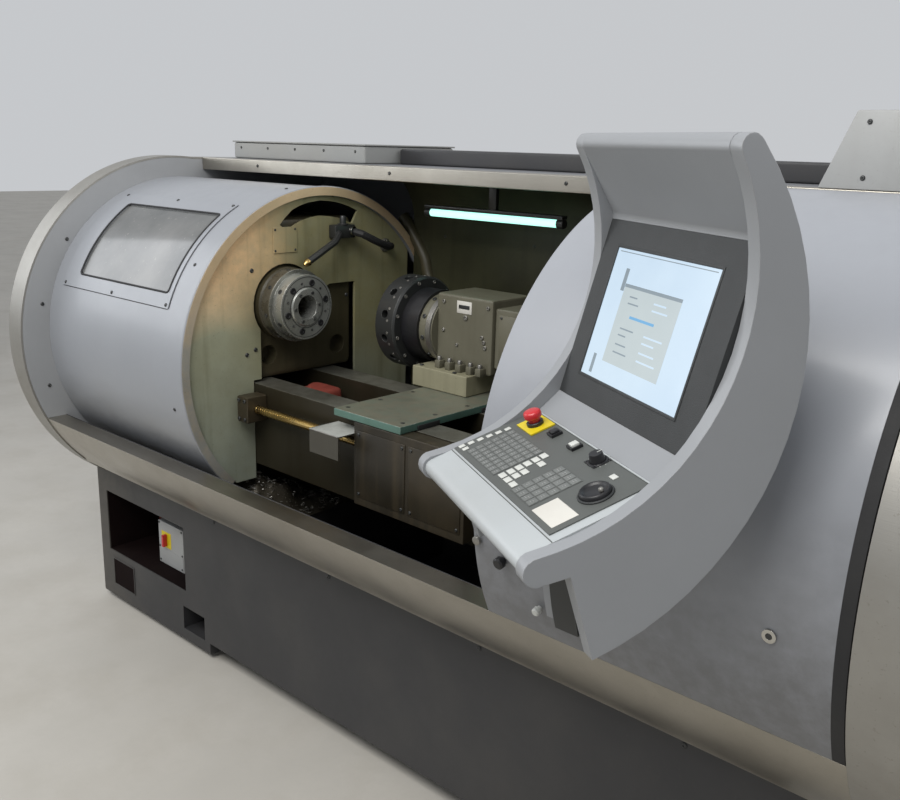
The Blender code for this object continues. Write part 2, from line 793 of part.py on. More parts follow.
def build_end_plate(root):
    """The wall behind the drum's rim, open round the spindle nose and over the bed."""
    radius = DRUM_RADIUS - DRUM_FLANGE - RIM_PLAY
    top_back = FRONT_ANGLE - math.degrees(math.acos((PLATE_BACK - DRUM_Y) / radius))
    edge = arc(DRUM, radius, DRUM_FROM, top_back, steps_for(DRUM_FROM, top_back))
    right = CUT_STEP[-1][0]
    nose = arc((SPINDLE_Y, SPINDLE_Z), CUT_RADIUS, CUT_ARC[0], CUT_ARC[1], NOSE_STEPS)
    front = BED_Y[0] - BED_PLAY
    outline = edge + [(PLATE_BACK, PLATE_LOW), (right, PLATE_LOW)] + list(CUT_STEP[::-1]) + nose
    outline += [(CUT_LEFT, CUT_LOW), (front, CUT_LOW), (front, PLATE_LOW), (PLATE_FRONT, PLATE_LOW)]
    slot = list(SLOT_OUTER) + list(SLOT_INNER)
    x = (PLATE_FACE - PLATE_THICK, PLATE_FACE)
    prism_x("drum_end_plate", [outline, slot], x, "plate_paint", root)
    face = (PLATE_FACE + GAP, PLATE_FACE + GAP + COVER_THICK)
    box("service_cover", face, COVER_Y, COVER_Z, "bare_steel", root, COVER_BEVEL)
    tube("coolant_nozzle", NOZZLE_PIPE, NOZZLE_RADIUS, "bare_steel", root)
    tube("coolant_hose", HOSE_ROUTE, HOSE_RADIUS, "rubber", root)


def build_headstock(root):
    height = (BED_TOP + GAP, HEADSTOCK_TOP)
    block = box("headstock_casting", HEADSTOCK_X, HEADSTOCK_Y, height, "casting_paint", root)
    casting = round_edges(block, HEADSTOCK_BEVEL)
    axis = (0, SPINDLE_Y, SPINDLE_Z)
    through = grown(HEADSTOCK_X, REACH)
    drill(casting, "spindle_bore", through, SHAFT_RADIUS + RUN, axis, "x", root, STEPS)
    for y, name in zip(CORE_HOLE_Y, ("front", "rear")):
        depth = (HEADSTOCK_X[1] - CORE_HOLE_DEPTH, HEADSTOCK_X[1] + REACH)
        centre = (0, y, CORE_HOLE_Z)
        drill(casting, "core_" + name, depth, CORE_HOLE_RADIUS, centre, "x", root, HOLE_SIDES)
    cap_foot = HEADSTOCK_X[1] + GAP
    profile = (
        (CAP_X, SHAFT_RADIUS + RUN), (CAP_X, CAP_RADIUS - CAP_CHAMFER), (CAP_X - CAP_CHAMFER, CAP_RADIUS),
        (cap_foot, CAP_RADIUS), (cap_foot, SHAFT_RADIUS + RUN),
    )
    turned("front_bearing_cap", profile, axis, "x", "casting_paint", root, ring=True)


def build_spindle(root):
    body = joint_empty("spindle_axis", (NOSE_FACE, SPINDLE_Y, SPINDLE_Z), root)
    at = (0, SPINDLE_Y, SPINDLE_Z)
    face = NOSE_FACE + HUB_STEP
    hub = NOSE_RADIUS * HUB_SHARE
    profile = (
        (face, BORE_MOUTH), (face, hub - HUB_STEP), (NOSE_FACE, hub), (NOSE_FACE, NOSE_RADIUS),
        (RING_X[1], NOSE_RADIUS), (RING_X[1], RING_RADIUS), (RING_X[0], RING_RADIUS),
        (RING_X[0], SHAFT_RADIUS), (SPINDLE_REAR, SHAFT_RADIUS), (SPINDLE_REAR, BORE_RADIUS),
        (NOSE_FACE - BORE_TAPER, BORE_RADIUS),
    )
    spindle = turned("spindle", profile, at, "x", "ground_steel", body, SPINDLE_STEPS, ring=True)
    for bolt in range(BOLTS):
        angle = math.tau * bolt / BOLTS + BOLT_PHASE
        reach = NOSE_RADIUS * BOLT_CIRCLE_SHARE
        y = SPINDLE_Y + reach * math.cos(angle)
        z = SPINDLE_Z + reach * math.sin(angle)
        depth = (NOSE_FACE - BOLT_DEPTH, NOSE_FACE + REACH)
        drill(spindle, "bolt_%d" % bolt, depth, BOLT_RADIUS, (0, y, z), "x", body, BOLT_SIDES)


def build_bed(root):
    low, top = BED_LOW, BED_TOP
    outline = [
        (BED_Y[0], low), (BED_Y[0], top), (BED_CHANNEL_Y[0], top), (BED_CHANNEL_Y[0], BED_CHANNEL_LOW),
        (BED_CHANNEL_Y[1], BED_CHANNEL_LOW), (BED_CHANNEL_Y[1], top), (BED_Y[1], top), (BED_Y[1], low),
    ]
    bed = as_mesh(prism_x("bed", [outline], BED_X, "bare_steel", root))
    leg_z = (BASE_TOP + GAP, low + LEG_LAP)
    for name, x in (("join_leg_left", LEFT_LEG_X), ("join_leg_right", RIGHT_LEG_X)):
        cut(bed, cutter(box(name, x, LEG_Y, leg_z, "casting_paint", root)), "UNION")
    round_edges(bed, BED_BEVEL)
    at = (0, SCREW_Y, SCREW_Z)
    rod("ball_screw", SCREW_X, SCREW_RADIUS, at, "x", "brass", root, SCREW_SIDES)
    for name, x in (("screw_bearing_left", BEARING_LEFT_X), ("screw_bearing_right", BEARING_RIGHT_X)):
        block = box(name, x, (BEARING_Y, BED_Y[0] - GAP), BEARING_Z, "dark_steel", root, BEARING_BEVEL)
        drill(block, name, grown(x, REACH), SCREW_RADIUS + RUN, at, "x", root, SCREW_SIDES)


def build_carriage(root):
    body = joint_empty("carriage_slide", (0, SCREW_Y, BED_TOP), root)
    under = BED_TOP + SADDLE_RIDE
    box("saddle", SADDLE_X, SADDLE_Y, (under, SADDLE_TOP), "slide_paint", body, SADDLE_BEVEL)
    apron = box("apron", APRON_X, APRON_Y, (APRON_LOW, under - GAP), "casting_paint", body, APRON_BEVEL)
    line = (0, SCREW_Y, SCREW_Z)
    drill(apron, "nut", grown(APRON_X, REACH), SCREW_RADIUS + RUN, line, "x", body, SCREW_SIDES)
    front, back = SCREW_COVER_Y
    top, thick = SCREW_COVER_TOP, SCREW_COVER_THICK
    foot = top - COVER_LEG
    under_top = top - thick
    lip = front + thick
    outline = [(front, top), (back, top), (back, under_top), (lip, under_top), (lip, foot), (front, foot)]
    prism_x("screw_cover", [outline], (SCREW_COVER_X, APRON_X[0] - GAP), "bare_steel", body)
    cross = joint_empty("cross_slide", (0, TURRET_Y, SADDLE_TOP), body)
    box("turret_riser", RISER_X, RISER_Y, (SADDLE_TOP + RUN, RISER_TOP), "riser_paint", cross, RISER_BEVEL)
    housing_z = (RISER_TOP + GAP, HOUSING_TOP)
    housing = box("turret_housing", HOUSING_X, HOUSING_Y, housing_z, "turret_paint", cross, HOUSING_BEVEL)
    at = (0, TURRET_Y, TURRET_Z)
    flange = (CLUTCH_X[1] + RUN, HOUSING_X[0] + FLANGE_LAP)
    cut(housing, cutter(rod("join_flange", flange, FLANGE_RADIUS, at, "x", "turret_paint", cross)), "UNION")
    drive_x = (HOUSING_X[1] + GAP, TURRET_DRIVE_END)
    drive = box("turret_motor", drive_x, TURRET_DRIVE_Y, TURRET_DRIVE_Z, "turret_paint", cross)
    round_edges(drive, TURRET_DRIVE_BEVEL)
    turret = joint_empty("turret_axis", at, cross)
    build_turret(turret, at)


def build_turret(turret, at):
    edge = DISC_RADIUS - DISC_CHAMFER
    profile = (
        (DISC_X[1], 0), (DISC_X[1], edge), (DISC_X[1] - DISC_CHAMFER, DISC_RADIUS),
        (DISC_X[0] + DISC_CHAMFER, DISC_RADIUS), (DISC_X[0], edge), (DISC_X[0], DISC_HUB_RADIUS),
        (DISC_HUB_X, DISC_HUB_RADIUS), (DISC_HUB_X, 0),
    )
    disc = turned("turret_disc", profile, at, "x", "dark_steel", turret, SPINDLE_STEPS)
    for station in range(DISC_STATIONS):
        angle = math.tau * (station + HALF_SHARE) / DISC_STATIONS
        along = (DISC_RADIUS - STATION_DEPTH, DISC_RADIUS + REACH)
        centre = (middle(DISC_X), TURRET_Y, TURRET_Z)
        name = "station_%d" % station
        hole = drill(disc, name, along, STATION_RADIUS, centre, "z", turret, BOLT_SIDES)
        hole.rotation_euler = (angle, 0, 0)
    rod("turret_clutch", CLUTCH_X, CLUTCH_RADIUS, at, "x", "black_parts", turret)


def build_inner_walls(root):
    high = ROOF_Z - ROOF_THICK - RUN
    low = BASE_TOP + GAP
    centre = (SPLASH_Y - SPLASH_CURVE, high - SPLASH_CURVE)
    outer = arc(centre, SPLASH_CURVE, FRONT_ANGLE, FRONT_ANGLE * HALF_SHARE, CURVE_STEPS)
    inner = arc(centre, SPLASH_CURVE - SKIN, FRONT_ANGLE * HALF_SHARE, FRONT_ANGLE, CURVE_STEPS)
    outline = [(SPLASH_Y, low)] + outer + inner + [(SPLASH_Y - SKIN, low)]
    x = (DRUM_FACE + RUN, INNER - GAP)
    prism_x("inner_splash_wall", [outline], x, "splash_paint", root)
    ends = (
        (LAMP_X[1], 0), (LAMP_X[1], LAMP_CAP_RADIUS), (LAMP_X[1] - LAMP_CAP, LAMP_CAP_RADIUS),
        (LAMP_X[1] - LAMP_CAP, LAMP_RADIUS), (LAMP_X[0] + LAMP_CAP, LAMP_RADIUS),
        (LAMP_X[0] + LAMP_CAP, LAMP_CAP_RADIUS), (LAMP_X[0], LAMP_CAP_RADIUS), (LAMP_X[0], 0),
    )
    lamp = turned("work_light", ends, (0, LAMP_Y, LAMP_Z), "x", "lamp_cover", root, LAMP_STEPS)
    bottom = LAMP_Z
    hanger = [(HANGER_Y[0], bottom), (HANGER_Y[1], bottom)]
    for y in HANGER_Y[::-1]:
        lean = math.asin((y - centre[0]) / (SPLASH_CURVE - SKIN))
        under = (SPLASH_CURVE - SKIN) * math.cos(lean)
        hanger.append((y, centre[1] + under - HANGER_PLAY))
    cut(lamp, cutter(as_mesh(prism_x("join_hanger", [hanger], HANGER_X, "bare_steel", root))), "UNION")


def build_cabinet(root):
    y = (REAR_Y + GAP, CABINET_Y)
    cabinet = box("electrical_cabinet", CABINET_X, y, CABINET_Z, "wall_paint", root, CABINET_BEVEL)
    inside_x = grown(CABINET_X, -CABINET_WALL)
    inside_z = grown(CABINET_Z, -CABINET_WALL)
    cut_box(cabinet, "cut_cabinet", inside_x, (REAR_Y + CABINET_WALL, CABINET_Y + REACH), inside_z, root)
    door_y = (CABINET_Y + RUN, CABINET_Y + RUN + CABINET_DOOR)
    pin = (CABINET_X[1] + HINGE_RADIUS + RUN, middle(door_y), 0)
    body = joint_empty("cabinet_hinge", pin, root)
    box("cabinet_door", CABINET_X, door_y, CABINET_Z, "wall_paint", body, CABINET_BEVEL)


def build_base_contents(root):
    floor = LEFT_PORT_Z[0] + GAP
    box("switch_box", SWITCH_X, SWITCH_Y, (floor, SWITCH_TOP), "light_grey", root, CABINET_BEVEL)
    x, z = SWITCH_KNOB
    y = (SWITCH_Y[0] - RUN - SWITCH_KNOB_DEPTH, SWITCH_Y[0] - RUN)
    body = joint_empty("switch_axis", (x, y[1], z), root)
    grip = (x - SWITCH_GRIP, x + SWITCH_GRIP)
    height = (z - SWITCH_KNOB_RADIUS, z + SWITCH_KNOB_RADIUS)
    box("main_switch", grip, y, height, "safety_red", body, SWITCH_BEVEL)
    box("coolant_tank", TANK_X, TANK_Y, (RIGHT_PORT_Z[0] + GAP, TANK_TOP), "light_grey", root, LEG_BEVEL)


def build_door(root):
    body = joint_empty("door_slide", (middle(DOOR_X), ARCH_Y, ARCH_Z), root)
    low = math.degrees(math.asin((SILL_TOP + DOOR_LIFT - ARCH_Z) / DOOR_RADIUS))
    high = math.degrees(math.acos((ARCH_Y - DOOR_TOP_Y) / DOOR_RADIUS))
    inner = DOOR_RADIUS - DOOR_RETURN
    profile = ((DOOR_X[1], inner), (DOOR_X[1], DOOR_RADIUS), (DOOR_X[0], DOOR_RADIUS), (DOOR_X[0], inner))
    swept_arc("door_shell", profile, ARCH, (low, high), SKIN, "door_paint", body)
    outer = arc(ARCH, DOOR_RADIUS, low, high, steps_for(low, high))
    under = arc(ARCH, DOOR_RADIUS - SEAL_DEPTH, high, low + SEAL_TUCK, steps_for(low, high))
    prism_x("door_seal", [outer + under], SEAL_X, "rubber", body)
    angle = math.degrees(math.asin((LOCK_Z - ARCH_Z) / DOOR_RADIUS))
    foot = DOOR_RADIUS + GAP
    height = (foot, foot + LOCK_HEIGHT)
    centre = (LOCK_X, ARCH_Y, ARCH_Z)
    lock = ring("door_lock", height, LOCK_RADIUS, LOCK_BORE, centre, "z", "ground_steel", body, HOLE_SIDES)
    lock.rotation_euler = (math.radians(FRONT_ANGLE * HALF_SHARE - angle), 0, 0)
    build_console(body)


def door_cutter(name, parent):
    """Everything inside the door's cylinder, so that a piece seats on the door."""
    radius = (DOOR_RADIUS + RUN) / math.cos(math.pi / TRIM_SIDES)
    tool = rod(name, DOOR_X, radius, (0, ARCH_Y, ARCH_Z), "x", "black_parts", parent, TRIM_SIDES)
    return cutter(tool)


def arc_angle(centre, point):
    return math.degrees(math.atan2(point[1] - centre[1], centre[0] - point[0]))


def between(centre, radius, first, last, steps):
    """The shorter way round a circle, from the angle of one point to the angle of another."""
    start = arc_angle(centre, first)
    end = arc_angle(centre, last)
    if end - start > FRONT_ANGLE:
        end -= FULL_TURN
    if start - end > FRONT_ANGLE:
        end += FULL_TURN
    return arc(centre, radius, start, end, steps)


def hood_roll():
    """The rounded top edge that the hood and both cheeks share, from its back to its front."""
    centre = (Vector(HOOD_END) + Vector(FRONT_HIGH)) * HALF_SHARE
    start = arc_angle(centre, HOOD_END)
    return arc(centre, HOOD_ROLL, start, start - FRONT_ANGLE, ROLL_STEPS)


def build_console(door):
    frame = joint_empty("console_frame", (*CONSOLE_AT, 0), door, True, (0, 0, CONSOLE_TURN))
    tool = door_cutter("cut_door_cylinder", door)
    back = between(BACK_ARC[:2], BACK_ARC[2], HOOD_END, TIP, CHEEK_ARC_STEPS)
    front = between(FRONT_ARC[:2], FRONT_ARC[2], FRONT_LOW, FRONT_HIGH, CHEEK_ARC_STEPS)
    nose = arc(ROLL_CENTRE, CHEEK_ROLL, *CHEEK_ROLL_ARC, ROLL_STEPS)
    outline = back + [UNDER_DECK] + nose[::-1] + front[1:-1] + hood_roll()[::-1][:-1]
    left_x = (-CONSOLE_WIDTH, CHEEK - CONSOLE_WIDTH)
    for name, x in (("console_right_cheek", (-CHEEK, 0)), ("console_left_cheek", left_x)):
        cheek = as_mesh(prism_x(name, [outline], x, "console_paint", frame))
        round_edges(cheek, CHEEK_EDGE)
        cut(cheek, tool)
    inside = (CHEEK - CONSOLE_WIDTH + GAP, -CHEEK - GAP)
    lean = math.radians(BEZEL_TILT)
    along = Vector((math.cos(lean), math.sin(lean)))
    into = Vector((math.sin(lean), -math.cos(lean)))
    low = Vector(BEZEL_LOW)
    high = low + along * BEZEL_HEIGHT
    deep = into * (BEZEL_THICK + GAP)
    shelf_tilt = math.atan2(DECK_BACK[1] - DECK_FRONT[1], DECK_BACK[0] - DECK_FRONT[0])
    down = Vector((math.sin(shelf_tilt), -math.cos(shelf_tilt)))
    aft = Vector((math.cos(shelf_tilt), math.sin(shelf_tilt))) * GAP
    shelf = Vector(DECK_BACK) + aft
    floor = shelf + down * DECK_THICK
    drop = math.asin((BODY_BACK_LOW - BACK_ARC[1]) / BACK_ARC[2])
    back_low = (BACK_ARC[0] + BACK_ARC[2] * math.cos(drop), BODY_BACK_LOW)
    shell = between(BACK_ARC[:2], BACK_ARC[2], back_low, HOOD_END, CHEEK_ARC_STEPS)
    body_outline = [tuple(floor)] + shell[:-1] + hood_roll() + [HOOD_LOW, tuple(high + along * GAP)]
    body_outline += [tuple(high + along * GAP + deep), tuple(low - along * GAP + deep)]
    body_outline += [tuple(low - along * GAP), tuple(shelf)]
    body = as_mesh(prism_x("console_body", [body_outline], inside, "console_paint", frame))
    bracket = box("join_bracket", BRACKET_X, BRACKET_Y, BRACKET_Z, "console_paint", frame)
    cut(body, cutter(bracket), "UNION")
    cut(body, tool)
    roll = arc(ROLL_CENTRE, DECK_ROLL, *DECK_ROLL_ARC, ROLL_STEPS)
    deck = [DECK_BACK, DECK_FRONT] + roll + [UNDER_DECK, tuple(Vector(DECK_BACK) + down * DECK_THICK)]
    prism_x("console_deck", [deck], inside, "deck_paint", frame)
    build_bezel(frame, inside)
    build_deck_controls(frame, math.degrees(shelf_tilt))


def build_bezel(frame, inside):
    bezel_frame = joint_empty("bezel_frame", (0, *BEZEL_LOW), frame, True, (BEZEL_TILT, 0, 0))
    y = (0, BEZEL_HEIGHT)
    bezel = box("console_bezel", inside, y, (-BEZEL_THICK, 0), "bezel_plastic", bezel_frame)
    cut_box(bezel, "cut_screen", SCREEN_X, SCREEN_Y, (-SCREEN_DEPTH, REACH), bezel_frame)
    x = grown(SCREEN_X, -SCREEN_SEAT)
    up = grown(SCREEN_Y, -SCREEN_SEAT)
    z = (GAP - SCREEN_DEPTH, GAP + SCREEN_THICK - SCREEN_DEPTH)
    box("console_screen", x, up, z, "screen_glass", bezel_frame)


def build_deck_controls(frame, tilt):
    deck = joint_empty("deck_frame", (0, *DECK_FRONT), frame, True, (tilt, 0, 0))
    top = GAP + PANEL_PLATE_THICK
    panel = box("key_panel", PANEL_PLATE_X, PANEL_PLATE_Y, (GAP, top), "panel_plastic", deck)
    seat = top + GAP
    build_emergency_stop(deck, panel, seat)
    for name, x, y in BUTTONS:
        build_push_button(name, x, y, deck, panel, seat)
    x, y = KNOB_AT
    axis = joint_empty("override_axis", (x, y, seat), deck)
    crown, foot = seat + KNOB_RISE, seat + GAP
    knob = ((crown, 0), (crown, KNOB_RADIUS - KNOB_GRIP), (foot, KNOB_RADIUS), (foot, 0))
    turned("override_knob", knob, (x, y, 0), "z", "black_parts", axis, HOLE_SIDES)
    x, y = JOG_AT
    jog = joint_empty("jog_axis", (x, y, seat), deck)
    wheel = (seat + RUN, seat + JOG_RISE)
    rod("jog_wheel", wheel, JOG_RADIUS, (x, y, 0), "z", "bare_steel", jog, HOLE_SIDES)


def panel_hole(piece, name, x, y, radius, deck):
    drill(piece, name, (-REACH, REACH), radius + RUN, (x, y, 0), "z", deck, HOLE_SIDES)


def build_emergency_stop(deck, panel, seat):
    x, y = STOP_AT
    plate_top = seat + STOP_PLATE_THICK
    plate = box("stop_plate", STOP_PLATE_X, STOP_PLATE_Y, (seat, plate_top), "safety_yellow", deck)
    panel_hole(plate, "stop_plate_hole", x, y, STOP_NECK, deck)
    panel_hole(panel, "stop_panel_hole", x, y, STOP_NECK, deck)
    press = joint_empty("stop_press", (x, y, plate_top), deck)
    under = plate_top + STOP_TRAVEL + RUN
    top = plate_top + STOP_RISE
    crown = top - STOP_DOME
    foot = STOP_TRAVEL + RUN
    profile = (
        (top, 0), (top, STOP_NECK), (crown, STOP_RADIUS - STOP_EDGE), (under + STOP_EDGE, STOP_RADIUS),
        (under, STOP_RADIUS - STOP_EDGE), (under, STOP_NECK), (foot, STOP_NECK), (foot, 0),
    )
    turned("emergency_stop", profile, (x, y, 0), "z", "safety_red", press, HOLE_SIDES)


def build_push_button(name, x, y, deck, panel, seat):
    panel_hole(panel, name + "_hole", x, y, BUTTON_RADIUS, deck)
    press = joint_empty(name + "_press", (x, y, seat), deck)
    look = "key_plastic" if name.startswith("white") else "black_parts"
    low = BUTTON_TRAVEL + GAP
    rod(name, (low, seat + BUTTON_RISE), BUTTON_RADIUS, (x, y, 0), "z", look, press, HOLE_SIDES)


def seat_on_origin(root):
    """Moves the root so that the middle of the footprint on the floor is the origin."""
    bpy.context.view_layer.update()
    graph = bpy.context.evaluated_depsgraph_get()
    corners = []
    for obj in PARTS.objects:
        if obj.type in {"MESH", "CURVE"}:
            seen = obj.evaluated_get(graph)
            mesh = seen.to_mesh()
            corners += [seen.matrix_world @ vertex.co for vertex in mesh.vertices]
            seen.to_mesh_clear()
    low = Vector([min(corner[axis] for corner in corners) for axis in range(len(corners[0]))])
    high = Vector([max(corner[axis] for corner in corners) for axis in range(len(corners[0]))])
    middle_point = (low + high) * HALF_SHARE
    root.location = root.location - Vector((middle_point.x, middle_point.y, low.z))
    print("root offset", tuple(root.location), "size", tuple(high - low))


def main():
    root = joint_empty("machine_root", (0, 0, 0), None)
    build_base(root)
    build_end_walls(root)
    build_sill(root)
    build_roof(root)
    build_drum(root)
    build_end_plate(root)
    build_headstock(root)
    build_spindle(root)
    build_bed(root)
    build_carriage(root)
    build_inner_walls(root)
    build_cabinet(root)
    build_base_contents(root)
    build_door(root)
    seat_on_origin(root)


main()
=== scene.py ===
"""Looks of the turning lathe: finishes of every surface, small fittings, light, floor and camera."""
import json
import math
import random

import bmesh
import bpy
from mathutils import Matrix, Vector


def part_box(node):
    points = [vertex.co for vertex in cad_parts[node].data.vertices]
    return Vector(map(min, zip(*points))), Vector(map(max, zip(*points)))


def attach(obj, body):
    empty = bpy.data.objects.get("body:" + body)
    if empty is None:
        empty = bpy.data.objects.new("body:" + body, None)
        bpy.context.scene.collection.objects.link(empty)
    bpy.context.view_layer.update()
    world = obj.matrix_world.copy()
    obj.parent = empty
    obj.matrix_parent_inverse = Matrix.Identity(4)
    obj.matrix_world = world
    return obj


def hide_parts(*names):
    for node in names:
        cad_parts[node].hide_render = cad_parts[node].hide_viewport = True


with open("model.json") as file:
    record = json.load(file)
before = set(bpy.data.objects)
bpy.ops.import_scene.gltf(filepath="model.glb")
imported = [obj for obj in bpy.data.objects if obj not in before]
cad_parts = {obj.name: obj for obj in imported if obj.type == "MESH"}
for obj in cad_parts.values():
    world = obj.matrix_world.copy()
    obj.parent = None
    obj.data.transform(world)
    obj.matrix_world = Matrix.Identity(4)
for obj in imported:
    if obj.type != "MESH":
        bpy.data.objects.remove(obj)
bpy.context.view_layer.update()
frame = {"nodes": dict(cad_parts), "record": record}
NODES = frame["nodes"]

# The CAD source measures Y from its own line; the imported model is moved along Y.
BASE_FRONT = -0.03
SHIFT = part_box("base_frame")[0].y - BASE_FRONT


def at(x, y, z):
    return Vector((x, y + SHIFT, z))


# Places taken over from the CAD model: circles as (Y, Z), radii and faces
ARCH = (0.329, 1.095)
DOOR_RADIUS = 0.649
DRUM = (0.341, 1.111)
DRUM_RADIUS = 0.56
PANEL_RADIUS = 0.5635
PLATE_FACE = -0.6215
SPINDLE = (0.194, 1.297)
NOSE_FACE = -0.513
TURRET = (0.5, 1.245)
WALL_FACE = -1.458
HALF_LENGTH = 1.55
CONSOLE_AT = (1.1929, -0.6587, 0.0)
CONSOLE_TURN = math.radians(-28.91)
DECK_AT = (0.0, -0.0631, 1.2553)
DECK_TILT = math.radians(20.95)
BEZEL_AT = (0.0, 0.1542, 1.361)
BEZEL_TILT = math.radians(74.8)
SCREEN_X = (-0.4307, -0.0989)
SCREEN_UP = (0.0513, 0.2916)
PANEL_TOP = 0.0023

# Directions that a face can look to
FRONT, BACK, LEFT, RIGHT, UP = (0, -1, 0), (0, 1, 0), (-1, 0, 0), (1, 0, 0), (0, 0, 1)
HERE = Matrix.Identity(4)

# Camera at the photograph's viewing point
CAMERA_AT = (1.9, -1.782, 1.814)
CAMERA_YAW, CAMERA_PITCH, CAMERA_ROLL = 0.7331, 0.258, 0.0286
CAMERA_LENS, CAMERA_SENSOR = 38.53, 36.0
FLOOR_REACH = 30


def turned_by(angle, axis):
    return Matrix.Rotation(angle, 4, axis)


def moved_by(x, y, z):
    return Matrix.Translation((x, y, z))


def linked(name, data):
    obj = bpy.data.objects.new(name, data)
    bpy.context.scene.collection.objects.link(obj)
    return obj


def make_camera():
    data = bpy.data.cameras.new("camera")
    data.lens = CAMERA_LENS
    data.sensor_width = CAMERA_SENSOR
    camera = linked("camera", data)
    turn = turned_by(CAMERA_YAW, "Z") @ turned_by(math.pi / 2 - CAMERA_PITCH, "X")
    camera.matrix_world = place(*CAMERA_AT) @ turn @ turned_by(CAMERA_ROLL, "Z")
    bpy.context.scene.camera = camera


def area_light(name, spot, aim, size, power, colour):
    data = bpy.data.lights.new(name, "AREA")
    data.shape = "RECTANGLE"
    data.size, data.size_y = size
    data.energy = power
    data.color = colour
    lamp = linked(name, data)
    lamp.location = at(*spot)
    lamp.rotation_euler = (at(*aim) - at(*spot)).to_track_quat("-Z", "Y").to_euler()


def make_studio():
    world = bpy.data.worlds.new("studio")
    bpy.context.scene.world = world
    world.use_nodes = True
    fill(world.node_tree.nodes["Background"], Color=(0.94, 0.965, 1.0, 1), Strength=0.6)
    area_light("key", (0.4, -2.6, 4.4), (-0.1, 0.3, 0.9), (3.5, 2.0), 170, (1.0, 0.985, 0.96))
    area_light("fill", (-3.6, -1.8, 2.6), (-0.6, 0.2, 1.0), (2.5, 2.5), 40, (0.93, 0.96, 1.0))
    area_light("rim", (3.4, 1.6, 3.4), (0.8, 0.3, 1.2), (2.0, 2.0), 45, (1.0, 0.98, 0.96))
    bpy.context.scene.view_settings.view_transform = "Standard"
    mesh = bpy.data.meshes.new("floor")
    corners = [(x * FLOOR_REACH, y * FLOOR_REACH, 0) for x, y in ((-1, -1), (1, -1), (1, 1), (-1, 1))]
    mesh.from_pydata(corners, [], [(0, 1, 2, 3)])
    floor = linked("floor", mesh)
    mesh.materials.append(
        finish("pale_floor", (0.45, 0.43, 0.39), 0.6, 0.06, ((0.33, 0.3, 0.25), 0.35), peel=0.02, speck=0.2))


def fill(node, **values):
    """Sets sockets by name; an underscore stands for a space."""
    for key, value in values.items():
        node.inputs[key.replace("_", " ")].default_value = value
    return node


class Tree:
    """A short way to wire shader nodes."""

    def __init__(self, name):
        self.material = bpy.data.materials.new(name)
        self.material.use_nodes = True
        self.nodes = self.material.node_tree.nodes
        self.shader = self.nodes["Principled BSDF"]
        self.place = self.add("TexCoord").outputs["Object"]

    def add(self, kind, **settings):
        node = self.nodes.new("ShaderNode" + kind)
        for key, value in settings.items():
            setattr(node, key, value)
        return node

    def join(self, source, target):
        self.material.node_tree.links.new(source, target)

    def noise(self, scale, stretch=(1, 1, 1), detail=4.0, roughness=0.55):
        mapping = fill(self.add("Mapping"), Scale=stretch)
        self.join(self.place, mapping.inputs["Vector"])
        noise = fill(self.add("TexNoise"), Scale=scale, Detail=detail, Roughness=roughness)
        self.join(mapping.outputs["Vector"], noise.inputs["Vector"])
        return noise.outputs["Fac"]

    def part_of(self, vector, axis):
        split = self.add("SeparateXYZ")
        self.join(vector, split.inputs[0])
        return split.outputs["XYZ".index(axis)]

    def ramp(self, value, low, high, start=0.0, end=1.0):
        node = fill(self.add("MapRange"), From_Min=low, From_Max=high, To_Min=start, To_Max=end)
        self.join(value, node.inputs["Value"])
        return node.outputs["Result"]

    def maths(self, operation, first, second):
        node = self.add("Math", operation=operation)
        self.join(first, node.inputs[0])
        if isinstance(second, float):
            node.inputs[1].default_value = second
        else:
            self.join(second, node.inputs[1])
        return node.outputs[0]

    def blend(self, factor, first, second):
        """Mixes two colours; each is a colour tuple or a socket."""
        node = self.add("Mix", data_type="RGBA")
        self.join(factor, node.inputs[0])
        for value, socket in ((first, node.inputs[6]), (second, node.inputs[7])):
            if isinstance(value, tuple):
                socket.default_value = (*value, 1)
            else:
                self.join(value, socket)
        return node.outputs[2]


def shade(colour, amount):
    return tuple(min(1.0, part * amount) for part in colour)


FINISHES = {}


